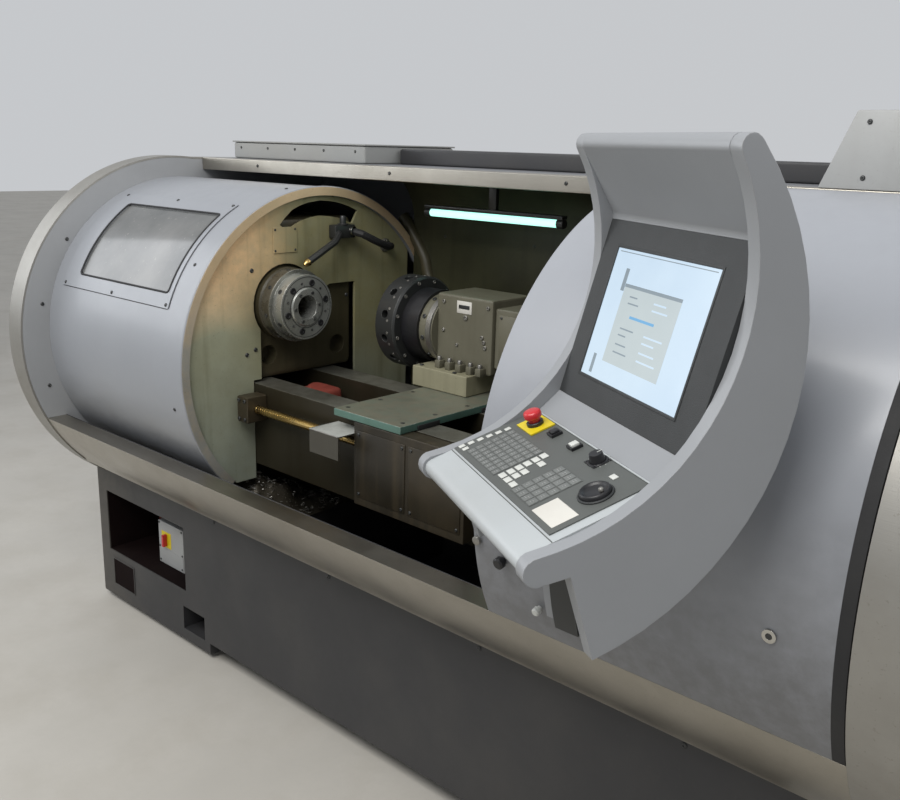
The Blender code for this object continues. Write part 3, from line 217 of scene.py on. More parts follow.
def finish(
    name, colour, rough, vary=0.08, grime=None, metal=0.0, coat=0.0, streak=0.0, wear=None, peel=0.05,
    peel_scale=420.0, brushed=None, edge=0.0012, glow=0.0, fades=(), speck=0.0, top=None, shine=0.5,
):
    """A painted, plastic or metal surface with uneven tone, dirt, worn edges and a fine bump.

    grime and wear are a colour and its share. fades holds (axis, from, to, colour): the colour
    grows from nothing at the first place to its full share at the second; some fades paint shade,
    others a warm reflection. top is the colour of faces that look up.
    """
    tree = Tree(name)
    shader = tree.shader
    dirt = grime[0] if grime else shade(colour, 0.5)
    # Tone: a broad drift, fades along axes, faces that look up, then finer unevenness and dirt
    broad = tree.noise(1.4, detail=3.0)
    tone = tree.blend(tree.ramp(broad, 0.32, 0.68), shade(colour, 1 - vary), shade(colour, 1 + vary))
    for axis, start, end, other in fades:
        sway = 0.2 * abs(end - start)
        waves = tree.ramp(tree.noise(3.0), 0.3, 0.7, -sway, sway)
        wavy = tree.maths("ADD", tree.part_of(tree.place, axis), waves)
        tone = tree.blend(tree.ramp(wavy, start, end), tone, other)
    geometry = tree.add("NewGeometry")
    if top:
        lying = tree.ramp(tree.part_of(geometry.outputs["Normal"], "Z"), 0.75, 0.92)
        tone = tree.blend(lying, tone, top)
    fine = tree.noise(24.0, detail=5.0, roughness=0.7)
    tone = tree.blend(tree.ramp(fine, 0.4, 0.72, 0.0, 0.35), tone, shade(colour, 1 - vary))
    if grime:
        patch = tree.ramp(tree.noise(2.6, detail=6.0, roughness=0.6), 0.46, 0.74, 0.0, grime[1])
        tone = tree.blend(patch, tone, dirt)
    if speck > 0:
        dots = tree.ramp(tree.noise(150.0, detail=2.0), 0.66, 0.72, 0.0, speck)
        tone = tree.blend(dots, tone, dirt)
    if streak > 0:
        runs = tree.ramp(tree.noise(1.0, (22.0, 22.0, 1.2), detail=4.0), 0.5, 0.8, 0.0, streak)
        tone = tree.blend(runs, tone, dirt)
    # Edges: the rounded normal departs from the true one only there, so it also places the wear
    round_edge = fill(tree.add("Bevel", samples=4), Radius=edge)
    if wear:
        match = tree.add("VectorMath", operation="DOT_PRODUCT")
        tree.join(round_edge.outputs["Normal"], match.inputs[0])
        tree.join(geometry.outputs["Normal"], match.inputs[1])
        corners = tree.ramp(match.outputs["Value"], 0.99, 0.9)
        chips = tree.maths("MULTIPLY", corners, tree.ramp(tree.noise(30.0), 0.42, 0.62))
        tone = tree.blend(tree.maths("MULTIPLY", chips, wear[1]), tone, wear[0])
    tree.join(tone, shader.inputs["Base Color"])
    gloss = tree.noise(6.0, detail=6.0, roughness=0.65)
    gloss = tree.ramp(gloss, 0.25, 0.75, max(0.03, rough - 0.07), min(1.0, rough + 0.09))
    tree.join(gloss, shader.inputs["Roughness"])
    fill(shader, Metallic=metal, Specular_IOR_Level=shine, Coat_Weight=coat, Coat_Roughness=0.18)
    if glow > 0:
        fill(shader, Emission_Color=(*colour, 1), Emission_Strength=glow)
    bump = fill(tree.add("Bump"), Strength=peel, Distance=0.002)
    if brushed:
        stretch = tuple(1.0 if axis == brushed else 60.0 for axis in "xyz")
        height = tree.noise(9.0, stretch, detail=3.0)
    else:
        height = tree.noise(peel_scale, detail=2.0)
    tree.join(height, bump.inputs["Height"])
    tree.join(round_edge.outputs["Normal"], bump.inputs["Normal"])
    tree.join(bump.outputs["Normal"], shader.inputs["Normal"])
    FINISHES[name] = tree.material
    return tree.material


OIL = (0.02, 0.015, 0.007)
PALE_DUST = (0.3, 0.28, 0.24)


def make_paints():
    finish("frame_paint", (0.027, 0.027, 0.029), 0.46, 0.1, ((0.06, 0.056, 0.05), 0.35), speck=0.25,
           wear=((0.16, 0.155, 0.14), 0.5), fades=(("X", -1.2, -1.55, (0.06, 0.054, 0.045)),))
    finish("wall_paint", (0.185, 0.19, 0.205), 0.4, coat=0.12, grime=((0.12, 0.115, 0.1), 0.15),
           streak=0.06, wear=((0.42, 0.42, 0.4), 0.3))
    finish("arch_paint", (0.3, 0.308, 0.318), 0.38, 0.06, ((0.2, 0.195, 0.18), 0.15), coat=0.15,
           streak=0.05)
    # The drum's paint darkens towards the bottom: painted shade.
    finish("drum_paint", (0.265, 0.278, 0.302), 0.36, 0.05, ((0.2, 0.2, 0.2), 0.12), coat=0.22,
           streak=0.05, fades=(("Z", 0.98, 0.7, (0.15, 0.152, 0.156)),))
    # The door's paint darkens towards the bottom: painted shade.
    finish("door_paint", (0.285, 0.298, 0.325), 0.34, 0.05, ((0.2, 0.2, 0.2), 0.08), coat=0.25,
           streak=0.05, fades=(("Z", 1.35, 0.85, (0.13, 0.132, 0.138)),))
    finish("roof_paint", (0.25, 0.255, 0.25), 0.5, grime=(PALE_DUST, 0.3), speck=0.3)
    finish("light_grey", (0.33, 0.335, 0.33), 0.42, 0.06, ((0.16, 0.15, 0.13), 0.3), streak=0.08,
           speck=0.15)
    finish("casting_paint", (0.06, 0.052, 0.028), 0.44, 0.2, (OIL, 0.7), streak=0.6, peel=0.22,
           peel_scale=120.0, wear=((0.25, 0.21, 0.14), 0.4))
    finish("apron_paint", (0.02, 0.016, 0.009), 0.44, 0.25, ((0.052, 0.039, 0.021), 0.8), streak=0.8,
           peel=0.18, peel_scale=90.0, wear=((0.25, 0.21, 0.14), 0.4))
    finish("splash_paint", (0.04, 0.04, 0.02), 0.4, 0.22, ((0.012, 0.011, 0.006), 0.7), streak=0.5,
           peel=0.1, peel_scale=90.0)
    # The end plate's orange-gold at the top is a painted warm reflection; lower down the plate turns browner
    # towards the back and grey-green further down.
    finish("plate_paint", (0.335, 0.345, 0.245), 0.38, 0.1, ((0.105, 0.095, 0.045), 0.4), streak=0.6,
           speck=0.3, peel=0.08, peel_scale=150.0,
           fades=(("Z", 1.22, 1.42, (1.0, 0.66, 0.36)),
                  ("Y", -0.38, -0.02, (0.265, 0.245, 0.13)), ("Z", 1.15, 0.85, (0.32, 0.35, 0.285))))
    finish("slide_paint", (0.085, 0.165, 0.135), 0.36, 0.12, (OIL, 0.25), streak=0.25,
           wear=((0.42, 0.44, 0.4), 0.9), edge=0.002, top=(0.14, 0.134, 0.1))
    finish("riser_paint", (0.29, 0.275, 0.185), 0.42, 0.1, ((0.08, 0.07, 0.04), 0.4), streak=0.35,
           speck=0.2)
    finish("turret_paint", (0.135, 0.128, 0.092), 0.38, 0.12, ((0.045, 0.04, 0.022), 0.45), streak=0.3,
           speck=0.2, peel=0.12, peel_scale=150.0)
    finish("console_paint", (0.252, 0.262, 0.276), 0.38, 0.04, ((0.17, 0.17, 0.165), 0.1), coat=0.18,
           wear=((0.42, 0.42, 0.41), 0.6))
    finish("deck_paint", (0.4, 0.425, 0.435), 0.36, 0.04, ((0.27, 0.265, 0.25), 0.25), coat=0.2, speck=0.15,
           wear=((0.6, 0.6, 0.58), 0.5))
    finish("safety_yellow", (0.66, 0.52, 0.012), 0.38, 0.05, ((0.4, 0.28, 0.02), 0.25))
    finish("safety_red", (0.5, 0.014, 0.02), 0.3, 0.05, coat=0.3)
    finish("dull_red", (0.19, 0.04, 0.028), 0.45, 0.2, (OIL, 0.5))
    # Near-black maroon for the port lining and the slot plate: the port's maroon, darkened as painted shade
    # of the recesses.
    finish("recess_maroon_shade", (0.0065, 0.0032, 0.0032), 0.8, 0.3, ((0.012, 0.008, 0.006), 0.4), shine=0.08)


def make_metals():
    finish("stainless", (0.42, 0.395, 0.345), 0.33, metal=1.0, grime=((0.17, 0.145, 0.105), 0.35),
           speck=0.25, peel=0.1, brushed="x")
    finish("arch_steel", (0.33, 0.32, 0.295), 0.46, metal=0.7, grime=((0.16, 0.14, 0.11), 0.4), speck=0.3,
           peel=0.08, brushed="x")
    # The rim's golden colour is a painted warm reflection at its top; lower down it fades to grey.
    finish("rim_steel", (0.66, 0.5, 0.31), 0.36, 0.08, ((0.25, 0.19, 0.11), 0.4), metal=0.25, speck=0.3,
           peel=0.08, fades=(("Z", 1.42, 1.2, (0.33, 0.335, 0.31)),))
    finish("nose_steel", (0.44, 0.45, 0.42), 0.27, 0.1, ((0.05, 0.047, 0.035), 0.5), metal=0.65, speck=0.4,
           peel=0.06, wear=((0.85, 0.86, 0.82), 0.8), edge=0.002,
           fades=(("X", -0.545, -0.562, (0.13, 0.12, 0.092)),))
    finish("cover_steel", (0.06, 0.056, 0.044), 0.4, metal=0.2, grime=(OIL, 0.4), top=(0.46, 0.47, 0.44))
    finish("bare_steel", (0.36, 0.35, 0.325), 0.38, 0.1, ((0.07, 0.06, 0.045), 0.45), metal=0.9, speck=0.3,
           peel=0.1, brushed="x")
    finish("bed_steel", (0.03, 0.026, 0.016), 0.36, 0.15, (OIL, 0.75), metal=0.3, streak=0.5, peel=0.12,
           wear=((0.3, 0.29, 0.25), 0.7), top=(0.15, 0.148, 0.125))
    finish("ground_steel", (0.5, 0.49, 0.46), 0.22, metal=1.0, grime=((0.13, 0.12, 0.09), 0.35), peel=0.05,
           brushed="x")
    finish("dark_steel", (0.05, 0.052, 0.052), 0.34, 0.12, (OIL, 0.3), metal=0.5,
           wear=((0.35, 0.35, 0.33), 0.6))
    finish("chip_heap", (0.055, 0.047, 0.034), 0.45, 0.3, ((0.3, 0.28, 0.22), 0.2), metal=0.4, speck=0.9,
           peel=0.6, peel_scale=140.0)
    finish("brass", (0.55, 0.39, 0.15), 0.27, 0.15, (OIL, 0.4), metal=1.0, brushed="x")


def make_plastics():
    finish("black_parts", (0.012, 0.012, 0.014), 0.36, 0.2, ((0.04, 0.037, 0.03), 0.2))
    finish("rubber", (0.014, 0.014, 0.015), 0.7, 0.2, ((0.05, 0.047, 0.04), 0.3), peel=0.15,
           peel_scale=160.0)
    finish("bezel_plastic", (0.026, 0.028, 0.029), 0.52, peel=0.22, peel_scale=520.0)
    finish("panel_plastic", (0.088, 0.094, 0.089), 0.46, 0.06, ((0.05, 0.05, 0.047), 0.25), peel=0.1,
           peel_scale=600.0)
    finish("panel_light", (0.15, 0.158, 0.152), 0.44, 0.06, ((0.08, 0.08, 0.075), 0.4), peel=0.1,
           peel_scale=600.0, speck=0.4)
    finish("key_plastic", (0.56, 0.57, 0.54), 0.42, 0.05, ((0.3, 0.29, 0.26), 0.25))
    finish("label_face", (0.6, 0.585, 0.54), 0.4, 0.05, ((0.38, 0.34, 0.3), 0.5))
    finish("lamp_cover", (0.42, 0.92, 0.78), 0.3, 0.03, glow=1.5)
    make_window()
    lit_face("screen_glass", (0.52, 0.66, 0.8), (0.6, 0.74, 0.86))
    lit_face("screen_page", (0.45, 0.52, 0.54), (0.5, 0.57, 0.58))
    lit_face("screen_line", (0.19, 0.24, 0.28), (0.24, 0.3, 0.34))
    lit_face("screen_blue", (0.1, 0.34, 0.62), (0.14, 0.4, 0.68))


def make_window():
    """Scratched safety glass, hazy from inside."""
    tree = Tree("window_glass")
    haze = tree.ramp(tree.noise(3.2, detail=6.0), 0.35, 0.7)
    tone = tree.blend(haze, (0.07, 0.074, 0.074), (0.165, 0.165, 0.16))
    spots = tree.ramp(tree.noise(70.0, detail=3.0), 0.66, 0.72, 0.0, 0.35)
    tone = tree.blend(spots, tone, (0.3, 0.29, 0.26))
    tree.join(tone, tree.shader.inputs["Base Color"])
    tree.join(tree.ramp(tree.noise(5.0), 0.3, 0.7, 0.1, 0.26), tree.shader.inputs["Roughness"])
    fill(tree.shader, Coat_Weight=0.5, Coat_Roughness=0.08)
    FINISHES["window_glass"] = tree.material


def lit_face(name, first, second):
    """A softly uneven face of a lit display."""
    tree = Tree(name)
    tone = tree.blend(tree.ramp(tree.noise(4.0, detail=2.0), 0.3, 0.7), first, second)
    tree.join(tone, tree.shader.inputs["Emission Color"])
    fill(tree.shader, Emission_Strength=1.0, Base_Color=(0.02, 0.022, 0.025, 1))
    tree.join(tree.ramp(tree.noise(30.0), 0.3, 0.7, 0.14, 0.24), tree.shader.inputs["Roughness"])
    FINISHES[name] = tree.material


def hex_reach(apothem, angle):
    return apothem / math.cos((angle % (math.pi / 3)) - math.pi / 6)


class Shape:
    """A mesh put together from turned, cut and swept forms, each in its own frame."""

    def __init__(self, name):
        self.name = name
        self.verts = []
        self.faces = []

    def add(self, verts, faces, frame_at):
        first = len(self.verts)
        self.verts += [frame_at @ Vector(vert) for vert in verts]
        self.faces += [tuple(first + corner for corner in face) for face in faces]
        return self

    def lathe(self, profile, frame_at, steps=24):
        """(radius, height) pairs from the top down; a third item makes a place six-sided.

        A form starts and ends with radius 0, or else it is a ring.
        """
        verts, rings = [], []
        for radius, height, *six_sided in profile:
            start = len(verts)
            if radius <= 0:
                rings.append([start] * steps)
                verts.append((0, 0, height))
                continue
            rings.append(list(range(start, start + steps)))
            for angle in even(steps):
                reach = hex_reach(radius, angle) if six_sided else radius
                verts.append((reach * math.cos(angle), reach * math.sin(angle), height))
        if profile[0][0] > 0:
            rings.append(rings[0])
        faces = []
        for upper, lower in zip(rings, rings[1:]):
            for step in range(steps):
                after = (step + 1) % steps
                faces.append(tuple(dict.fromkeys((upper[step], lower[step], lower[after], upper[after]))))
        return self.add(verts, faces, frame_at)

    def take(self, form, frame_at, bevel, segments=2):
        """Adds a bmesh with its edges rounded, and frees it."""
        if bevel:
            edges = form.edges[:]
            bmesh.ops.bevel(form, geom=edges, offset=bevel, segments=segments, affect="EDGES", profile=0.5)
        form.verts.index_update()
        verts = [vert.co.copy() for vert in form.verts]
        faces = [[vert.index for vert in face.verts] for face in form.faces]
        form.free()
        return self.add(verts, faces, frame_at)

    def block(self, x, y, z, bevel=0.001, frame_at=None, segments=2):
        """A block between places on three axes, along the machine's own if no frame is given."""
        form = bmesh.new()
        bmesh.ops.create_cube(form, size=1)
        bmesh.ops.scale(form, vec=[high - low for low, high in (x, y, z)], verts=form.verts)
        bmesh.ops.translate(form, vec=[sum(span) / 2 for span in (x, y, z)], verts=form.verts)
        return self.take(form, frame_at or place(), bevel, segments)

    def slab(self, outline, low, high, bevel, frame_at):
        """A flat outline in X and Y, given thickness along Z."""
        form = bmesh.new()
        base = form.faces.new([form.verts.new((x, y, low)) for x, y in outline])
        made = bmesh.ops.extrude_face_region(form, geom=[base])
        fresh = [item for item in made["geom"] if isinstance(item, bmesh.types.BMVert)]
        bmesh.ops.translate(form, vec=(0, 0, high - low), verts=fresh)
        bmesh.ops.recalc_face_normals(form, faces=form.faces)
        return self.take(form, frame_at, bevel)

    def sweep(self, path, radius, sides=12, frame_at=HERE):
        """A round tube along points, with flat ends."""
        points = [Vector(point) for point in path]
        across = (points[1] - points[0]).orthogonal().normalized()
        verts, faces = [], []
        for number, point in enumerate(points):
            ahead = points[min(number + 1, len(points) - 1)] - points[max(number - 1, 0)]
            ahead.normalize()
            across = (across - ahead * across.dot(ahead)).normalized()
            other = ahead.cross(across)
            for angle in even(sides):
                verts.append(point + across * (radius * math.cos(angle)) + other * (radius * math.sin(angle)))
        last = (len(points) - 1) * sides
        for low in range(0, last, sides):
            for side in range(sides):
                after = (side + 1) % sides
                faces.append((low + side, low + after, low + sides + after, low + sides + side))
        faces += [tuple(range(sides))[::-1], tuple(range(last, last + sides))]
        return self.add(verts, faces, frame_at)

    def bent_strip(self, centre, reach, angles, x, steps):
        """A piece of a sheet rolled about the X axis, between two radii, angles and X places."""
        verts, faces = [], []
        for step in range(steps + 1):
            angle = angles[0] + (angles[1] - angles[0]) * step / steps
            for radius in reach:
                for across in x:
                    verts.append(at(across, *arc_point(centre, radius, angle)))
        for step in range(steps):
            near, far = step * 4, step * 4 + 4
            for first, second in ((0, 1), (1, 3), (3, 2), (2, 0)):
                faces.append((near + first, near + second, far + second, far + first))
        last = steps * 4
        faces += [(0, 2, 3, 1), (last, last + 1, last + 3, last + 2)]
        return self.add(verts, faces, HERE)

    def piece(self, look, body="machine", smooth=38.0, stands_for=()):
        """Makes the object in its finish, riding on a body; it may stand for CAD nodes."""
        mesh = bpy.data.meshes.new(self.name)
        mesh.from_pydata(self.verts, [], self.faces)
        mesh.validate()
        mesh.polygons.foreach_set("use_smooth", [True] * len(mesh.polygons))
        mesh.set_sharp_from_angle(angle=math.radians(smooth))
        mesh.materials.append(FINISHES[look])
        obj = linked(self.name, mesh)
        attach(obj, body)
        if stands_for:
            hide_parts(*stands_for)


def place(x=0.0, y=0.0, z=0.0):
    """A frame along the machine's axes."""
    return Matrix.Translation(at(x, y, z))


def facing(point, axis):
    """A frame at a machine point whose Z looks along the axis."""
    return place(*point) @ Vector(axis).to_track_quat("Z", "Y").to_matrix().to_4x4()


def grid(xs, ys, zs, axis=FRONT):
    """Frames that look along one axis, at every mix of the given places."""
    return [facing((x, y, z), axis) for x in xs for y in ys for z in zs]


def brick(name, look, body, x, y, z, bevel=0.001, frame_at=None, stands_for=()):
    """A piece that is one block."""
    Shape(name).block(x, y, z, bevel, frame_at).piece(look, body, stands_for=stands_for)


def turned(name, look, body, profile, frame_at, steps=24, stands_for=()):
    """A piece that is one turned form."""
    Shape(name).lathe(profile, frame_at, steps).piece(look, body, stands_for=stands_for)


def tube(name, look, path, radius, sides):
    """A fixed piece that is one round tube."""
    Shape(name).sweep(path, radius, sides).piece(look)


def arc_point(centre, radius, angle):
    """Y and Z on a circle; 0 degrees points to the front, 90 up."""
    lean = math.radians(angle)
    return centre[0] - radius * math.cos(lean), centre[1] + radius * math.sin(lean)


def on_arc(centre, radius, x, angle):
    """A frame that stands on a cylinder along X."""
    lean = math.radians(angle)
    return facing((x, *arc_point(centre, radius, angle)), (0, -math.cos(lean), math.sin(lean)))


def on_door(x, z):
    """A frame that stands on the door's sheet at a height."""
    return on_arc(ARCH, DOOR_RADIUS, x, math.degrees(math.asin((z - ARCH[1]) / DOOR_RADIUS)))


def even(count, start=0.0):
    """Angles that share a full turn, in radians."""
    return [start + math.tau * number / count for number in range(count)]


def ring_frames(centre, radius, x, angles, axis=RIGHT):
    """Frames around an axis along X, which look along the given axis or, with None, outward."""
    frames = []
    for angle in angles:
        side = (math.cos(angle), math.sin(angle))
        point = (x, centre[0] + radius * side[0], centre[1] + radius * side[1])
        frames.append(facing(point, axis or (0, *side)))
    return frames


def rounded_path(points, per=6):
    """Points on a smooth curve through the given ones."""
    spread = [Vector(point) for point in points]
    spread = [spread[0] * 2 - spread[1]] + spread + [spread[-1] * 2 - spread[-2]]
    path = []
    for a, b, c, d in zip(spread, spread[1:], spread[2:], spread[3:]):
        for step in range(per):
            t = step / per
            bend = (2 * a - 5 * b + 4 * c - d) * t ** 2 + (3 * b - a - 3 * c + d) * t ** 3
            path.append(0.5 * (2 * b + (c - a) * t + bend))
    return path + [spread[-2]]


# Heads of screws as (share of radius, share of rise), six-sided where a third item stands
SOCKET_HEAD = ((0, 0.35), (0.5, 0.35, True), (0.5, 1, True), (0.86, 1), (1, 0.84), (1, 0), (0, 0))
HEX_HEAD = ((0, 1), (0.644, 1), (0.7, 0.86, True), (0.7, 0.22, True), (1, 0.22), (1, 0), (0, 0))
DOME_HEAD = ((0, 0.55), (0.42, 0.55, True), (0.42, 1, True), (0.72, 0.86), (0.93, 0.5), (1, 0), (0, 0))


def scaled(head, radius, rise):
    """A profile given in shares, at its size."""
    return [(radius * reach, rise * height, *six_sided) for reach, height, *six_sided in head]


def screws(name, frames, radius=0.006, rise=0.0035, body="machine", look="dark_steel", head=DOME_HEAD):
    shape = Shape(name)
    for frame_at in frames:
        shape.lathe(scaled(head, radius, rise), frame_at)
    shape.piece(look, body)


def bolts(name, frames, radius, rise, body="machine", look="dark_steel"):
    screws(name, frames, radius, rise, body, look, SOCKET_HEAD)


def smooth_cad_nodes():
    """Joins the corners of each loaded mesh and shades its rounds smooth, by modifiers."""
    group = bpy.data.node_groups.new("smooth_rounds", "GeometryNodeTree")
    group.interface.new_socket("Geometry", in_out="INPUT", socket_type="NodeSocketGeometry")
    group.interface.new_socket("Geometry", in_out="OUTPUT", socket_type="NodeSocketGeometry")
    nodes, links = group.nodes, group.links
    start, end = nodes.new("NodeGroupInput"), nodes.new("NodeGroupOutput")
    drop = fill(nodes.new("GeometryNodeRemoveAttribute"), Name="custom_normal")
    merge = fill(nodes.new("GeometryNodeMergeByDistance"), Distance=0.00002)
    faces, edges = nodes.new("GeometryNodeSetShadeSmooth"), nodes.new("GeometryNodeSetShadeSmooth")
    faces.domain, edges.domain = "FACE", "EDGE"
    fill(faces, Shade_Smooth=True)
    fill(edges, Shade_Smooth=False)
    angle = nodes.new("GeometryNodeInputMeshEdgeAngle")
    sharp = nodes.new("FunctionNodeCompare")
    sharp.operation = "GREATER_THAN"
    fill(sharp, B=math.radians(33))
    chain = [start, drop, merge, faces, edges, end]
    for before, after in zip(chain, chain[1:]):
        links.new(before.outputs[0], after.inputs[0])
    links.new(angle.outputs["Unsigned Angle"], sharp.inputs["A"])
    links.new(sharp.outputs["Result"], edges.inputs["Selection"])
    for node in NODES.values():
        node.modifiers.new("smooth_rounds", "NODES").node_group = group
        node.modifiers.new("flat_faces", "WEIGHTED_NORMAL").keep_sharp = True


def dress_nodes():
    slots = {row["node"]: row["material_slot"] for row in frame["record"]["subparts"]}
    changed = {
        "left_arch_trim": "arch_steel", "right_arch_trim": "arch_steel", "bed": "bed_steel",
        "apron": "apron_paint", "spindle": "nose_steel", "screw_cover": "cover_steel",
        "left_end_wall": "arch_paint", "screw_bearing_left": "apron_paint",
        "coolant_nozzle": "dark_steel", "service_cover": "plate_paint",
    }
    for name, node in NODES.items():
        node.data.materials.clear()
        node.data.materials.append(FINISHES[changed.get(name, slots[name])])


def loop_on_arc(centre, radius, x, angles, corner):
    """A closed outline with round corners on a cylinder along X."""
    lean = math.degrees(corner / radius)
    left, right = x[0] + corner, x[1] - corner
    low, high = angles[0] + lean, angles[1] - lean
    flat = []
    for across, angle, turn in ((right, high, 0), (left, high, 90), (left, low, 180), (right, low, 270)):
        for step in range(5):
            bend = math.radians(turn + 22.5 * step)
            flat.append((across + corner * math.cos(bend), angle + lean * math.sin(bend)))
        if turn in (90, 270):
            first, last = (high, low) if turn == 90 else (low, high)
            side = x[0] if turn == 90 else x[1]
            flat += [(side, first + (last - first) * step / 9) for step in range(1, 9)]
    flat.append(flat[0])
    return [at(across, *arc_point(centre, radius, angle)) for across, angle in flat]


RIM_START, RIM_END, BEAD_STEP = -44.5, 149.5, 3.03


def dress_drum():
    outline = loop_on_arc(DRUM, PANEL_RADIUS, (-1.293, -0.739), (25.0, 56.8), 0.012)
    tube("window_gasket", "rubber", outline, 0.0035, 8)
    outline = loop_on_arc(DRUM, DRUM_RADIUS, (-1.3915, -0.7155), (19.85, 63.15), 0.01)
    tube("window_panel_seam", "black_parts", outline, 0.0013, 6)
    places = [(x, angle) for angle, middle in ((61.9, -1.05), (21.1, -1.059))
              for x in (-1.375, middle, -0.732)]
    screws("window_screws", [on_arc(DRUM, PANEL_RADIUS, *spot) for spot in places], rise=0.003)
    frames = [on_arc(DRUM, DRUM_RADIUS, -0.673, angle) for angle in (-12, 35.8, 80, 118)]
    screws("drum_screws", frames, rise=0.003)
    rim = Shape("drum_rim").bent_strip(DRUM, (0.5325, 0.5598), (RIM_START, RIM_END), (-0.6058, -0.604), 64)
    rim.piece("rim_steel")
    path = [at(-0.609, *arc_point(DRUM, 0.559, RIM_START + BEAD_STEP * step)) for step in range(65)]
    tube("drum_rim_bead", "drum_paint", path, 0.0042, 10)
    spots = ((-0.237, 1.229), (-0.129, 1.453), (-0.235, 0.93))
    screws("end_wall_screws", [facing((WALL_FACE, *spot), RIGHT) for spot in spots], 0.007)


HOSE_INLET = (0.643, 1.463)


def dress_end_plate():
    spots = ((0.06, 1.413), (0.068, 1.156), (-0.063, 0.755), (-0.011, 1.51), (0.034, 1.143),
             (0.002, 0.999), (0.46, 1.3), (0.62, 1.21), (0.66, 0.8), (0.4, 1.645))
    screws("end_plate_screws", [facing((PLATE_FACE, *spot), RIGHT) for spot in spots], 0.0075)
    frames = grid((-0.6182,), (0.153, 0.234), (1.47, 1.537), RIGHT)
    screws("service_cover_screws", frames, 0.004, 0.002)
    valve = Shape("coolant_valve").block((-0.6212, -0.586), (0.38, 0.47), (1.5, 1.545), 0.004)
    valve.lathe(((0, 0.03), (0.009, 0.03), (0.011, 0.027), (0.011, 0.004), (0.016, 0.004, True),
                 (0.016, 0, True), (0, 0)), facing((-0.6, 0.425, 1.545), UP))
    valve.piece("dark_steel")
    clamps = Shape("hose_clamps")
    band = ((0.0138, 0.012), (0.0158, 0.011), (0.0158, 0.001), (0.0138, 0))
    inlet = facing((-0.615, *HOSE_INLET), RIGHT)
    clamps.lathe(band, inlet).lathe(band, facing((-0.586, 0.452, 1.525), (1, 0.2, 0)))
    clamps.block((-0.004, 0.004), (0.013, 0.021), (0.002, 0.01), frame_at=inlet)
    clamps.piece("ground_steel")
    flange = ((0.0135, 0.006), (0.022, 0.006), (0.024, 0.004), (0.024, 0), (0.0135, 0))
    turned("hose_flange", "bare_steel", "machine", flange, facing((PLATE_FACE, *HOSE_INLET), RIGHT))
    tip = ((0, 0.022), (0.0045, 0.022), (0.006, 0.02), (0.0128, 0.006), (0.0128, 0), (0, 0))
    turned("nozzle_tip", "brass", "machine", tip, facing((-0.55, 0.233, 1.4365), (0.1, -0.89, -0.45)))


def dress_spindle():
    for name, reach, x, angles, axis, radius, rise, look in (
        ("nose_bolts", 0.0798, NOSE_FACE, even(6, 0.26), RIGHT, 0.0108, 0.003, "black_parts"),
        ("nose_small_screws", 0.0795, NOSE_FACE, even(6, 0.26 + math.pi / 6), RIGHT, 0.0042, 0.0015,
         "dark_steel"),
        ("hub_screws", 0.049, -0.509, even(6, 0.1), RIGHT, 0.0055, 0.0028, "dark_steel"),
        ("ring_screws", 0.118, -0.576, even(8, 0.2), None, 0.0065, 0.002, "dark_steel"),
        ("nose_keys", 0.105, -0.535, even(6, 0.5), None, 0.008, 0.0015, "dark_steel"),
    ):
        bolts(name, ring_frames(SPINDLE, reach, x, angles, axis), radius, rise, "spindle_body", look)
    grooves = Shape("nose_grooves")
    for near in (0.0965, 0.066):
        far = near + 0.0022
        profile = ((near, 0.0006), (far, 0.0006), (far, 0), (near, 0))
        grooves.lathe(profile, facing((NOSE_FACE, *SPINDLE), RIGHT), 64)
    grooves.piece("dark_steel", "spindle_body")
    bolts("bearing_cap_screws", ring_frames(SPINDLE, 0.109, -0.6, even(6, 0.5)), 0.006, 0.003)


THREAD_START, THREAD_LENGTH, THREAD_RADIUS = -0.552, 1.64, 0.0133
THREAD_TURNS, STEPS_A_TURN = 150, 10


def dress_bed():
    casting = Shape("channel_casting")
    for x, y, z, bevel in (
        ((-0.6, -0.475), (0.168, 0.318), (0.872, 0.985), 0.014),
        ((-0.475, -0.385), (0.185, 0.3), (0.872, 0.925), 0.01),
        ((-0.572, -0.462), (0.205, 0.306), (0.9, 1.022), 0.018),
    ):
        casting.block(x, y, z, bevel, segments=3)
    boss = ((0, 0.05), (0.034, 0.05), (0.04, 0.044), (0.042, 0), (0, 0))
    casting.lathe(boss, facing((-0.525, 0.243, 0.975), (0.3, 0, 1)), 32)
    casting.piece("dull_red")
    frames = grid((-1.25, -1.03, -0.81, 1.2, 1.37), (0.06,), (0.62,))
    screws("bed_bolts", frames, 0.016, 0.012, head=HEX_HEAD)
    frames = grid((-0.597, -0.568, 1.103, 1.137), (-0.018,), (0.947, 1.008))
    bolts("screw_bearing_bolts", frames, 0.006, 0.005)
    path = []
    for step in range(THREAD_TURNS * STEPS_A_TURN + 1):
        turn = math.tau * step / STEPS_A_TURN
        x = THREAD_START + THREAD_LENGTH * step / (THREAD_TURNS * STEPS_A_TURN)
        path.append(at(x, 0.022 + THREAD_RADIUS * math.cos(turn), 0.977 + THREAD_RADIUS * math.sin(turn)))
    tube("screw_thread", "brass", path, 0.0011, 4)
    heap_of_chips()


HEAP_BASE = 0.5605
HEAP_CORNER = (-0.712, 0.032)
HEAP_SIDE = 0.4
HEAP_COLUMNS, HEAP_ROWS = 46, 56


def heap_height(x, y):
    """Height of the chip heap over the base; it ends before the chip well."""
    height = 0.125 * math.exp(-((x + 0.67) / 0.14) ** 2) * math.exp(-((y - 0.12) / 0.17) ** 2)
    coarse = 0.22 * math.sin(41 * x + 5 * y) * math.cos(37 * y)
    height *= 1 + coarse + 0.1 * math.sin(97 * x) * math.cos(83 * y + 1)
    if y > 0.05:
        height *= min(1.0, max(0.0, (-0.553 - x) / 0.05))
    return height


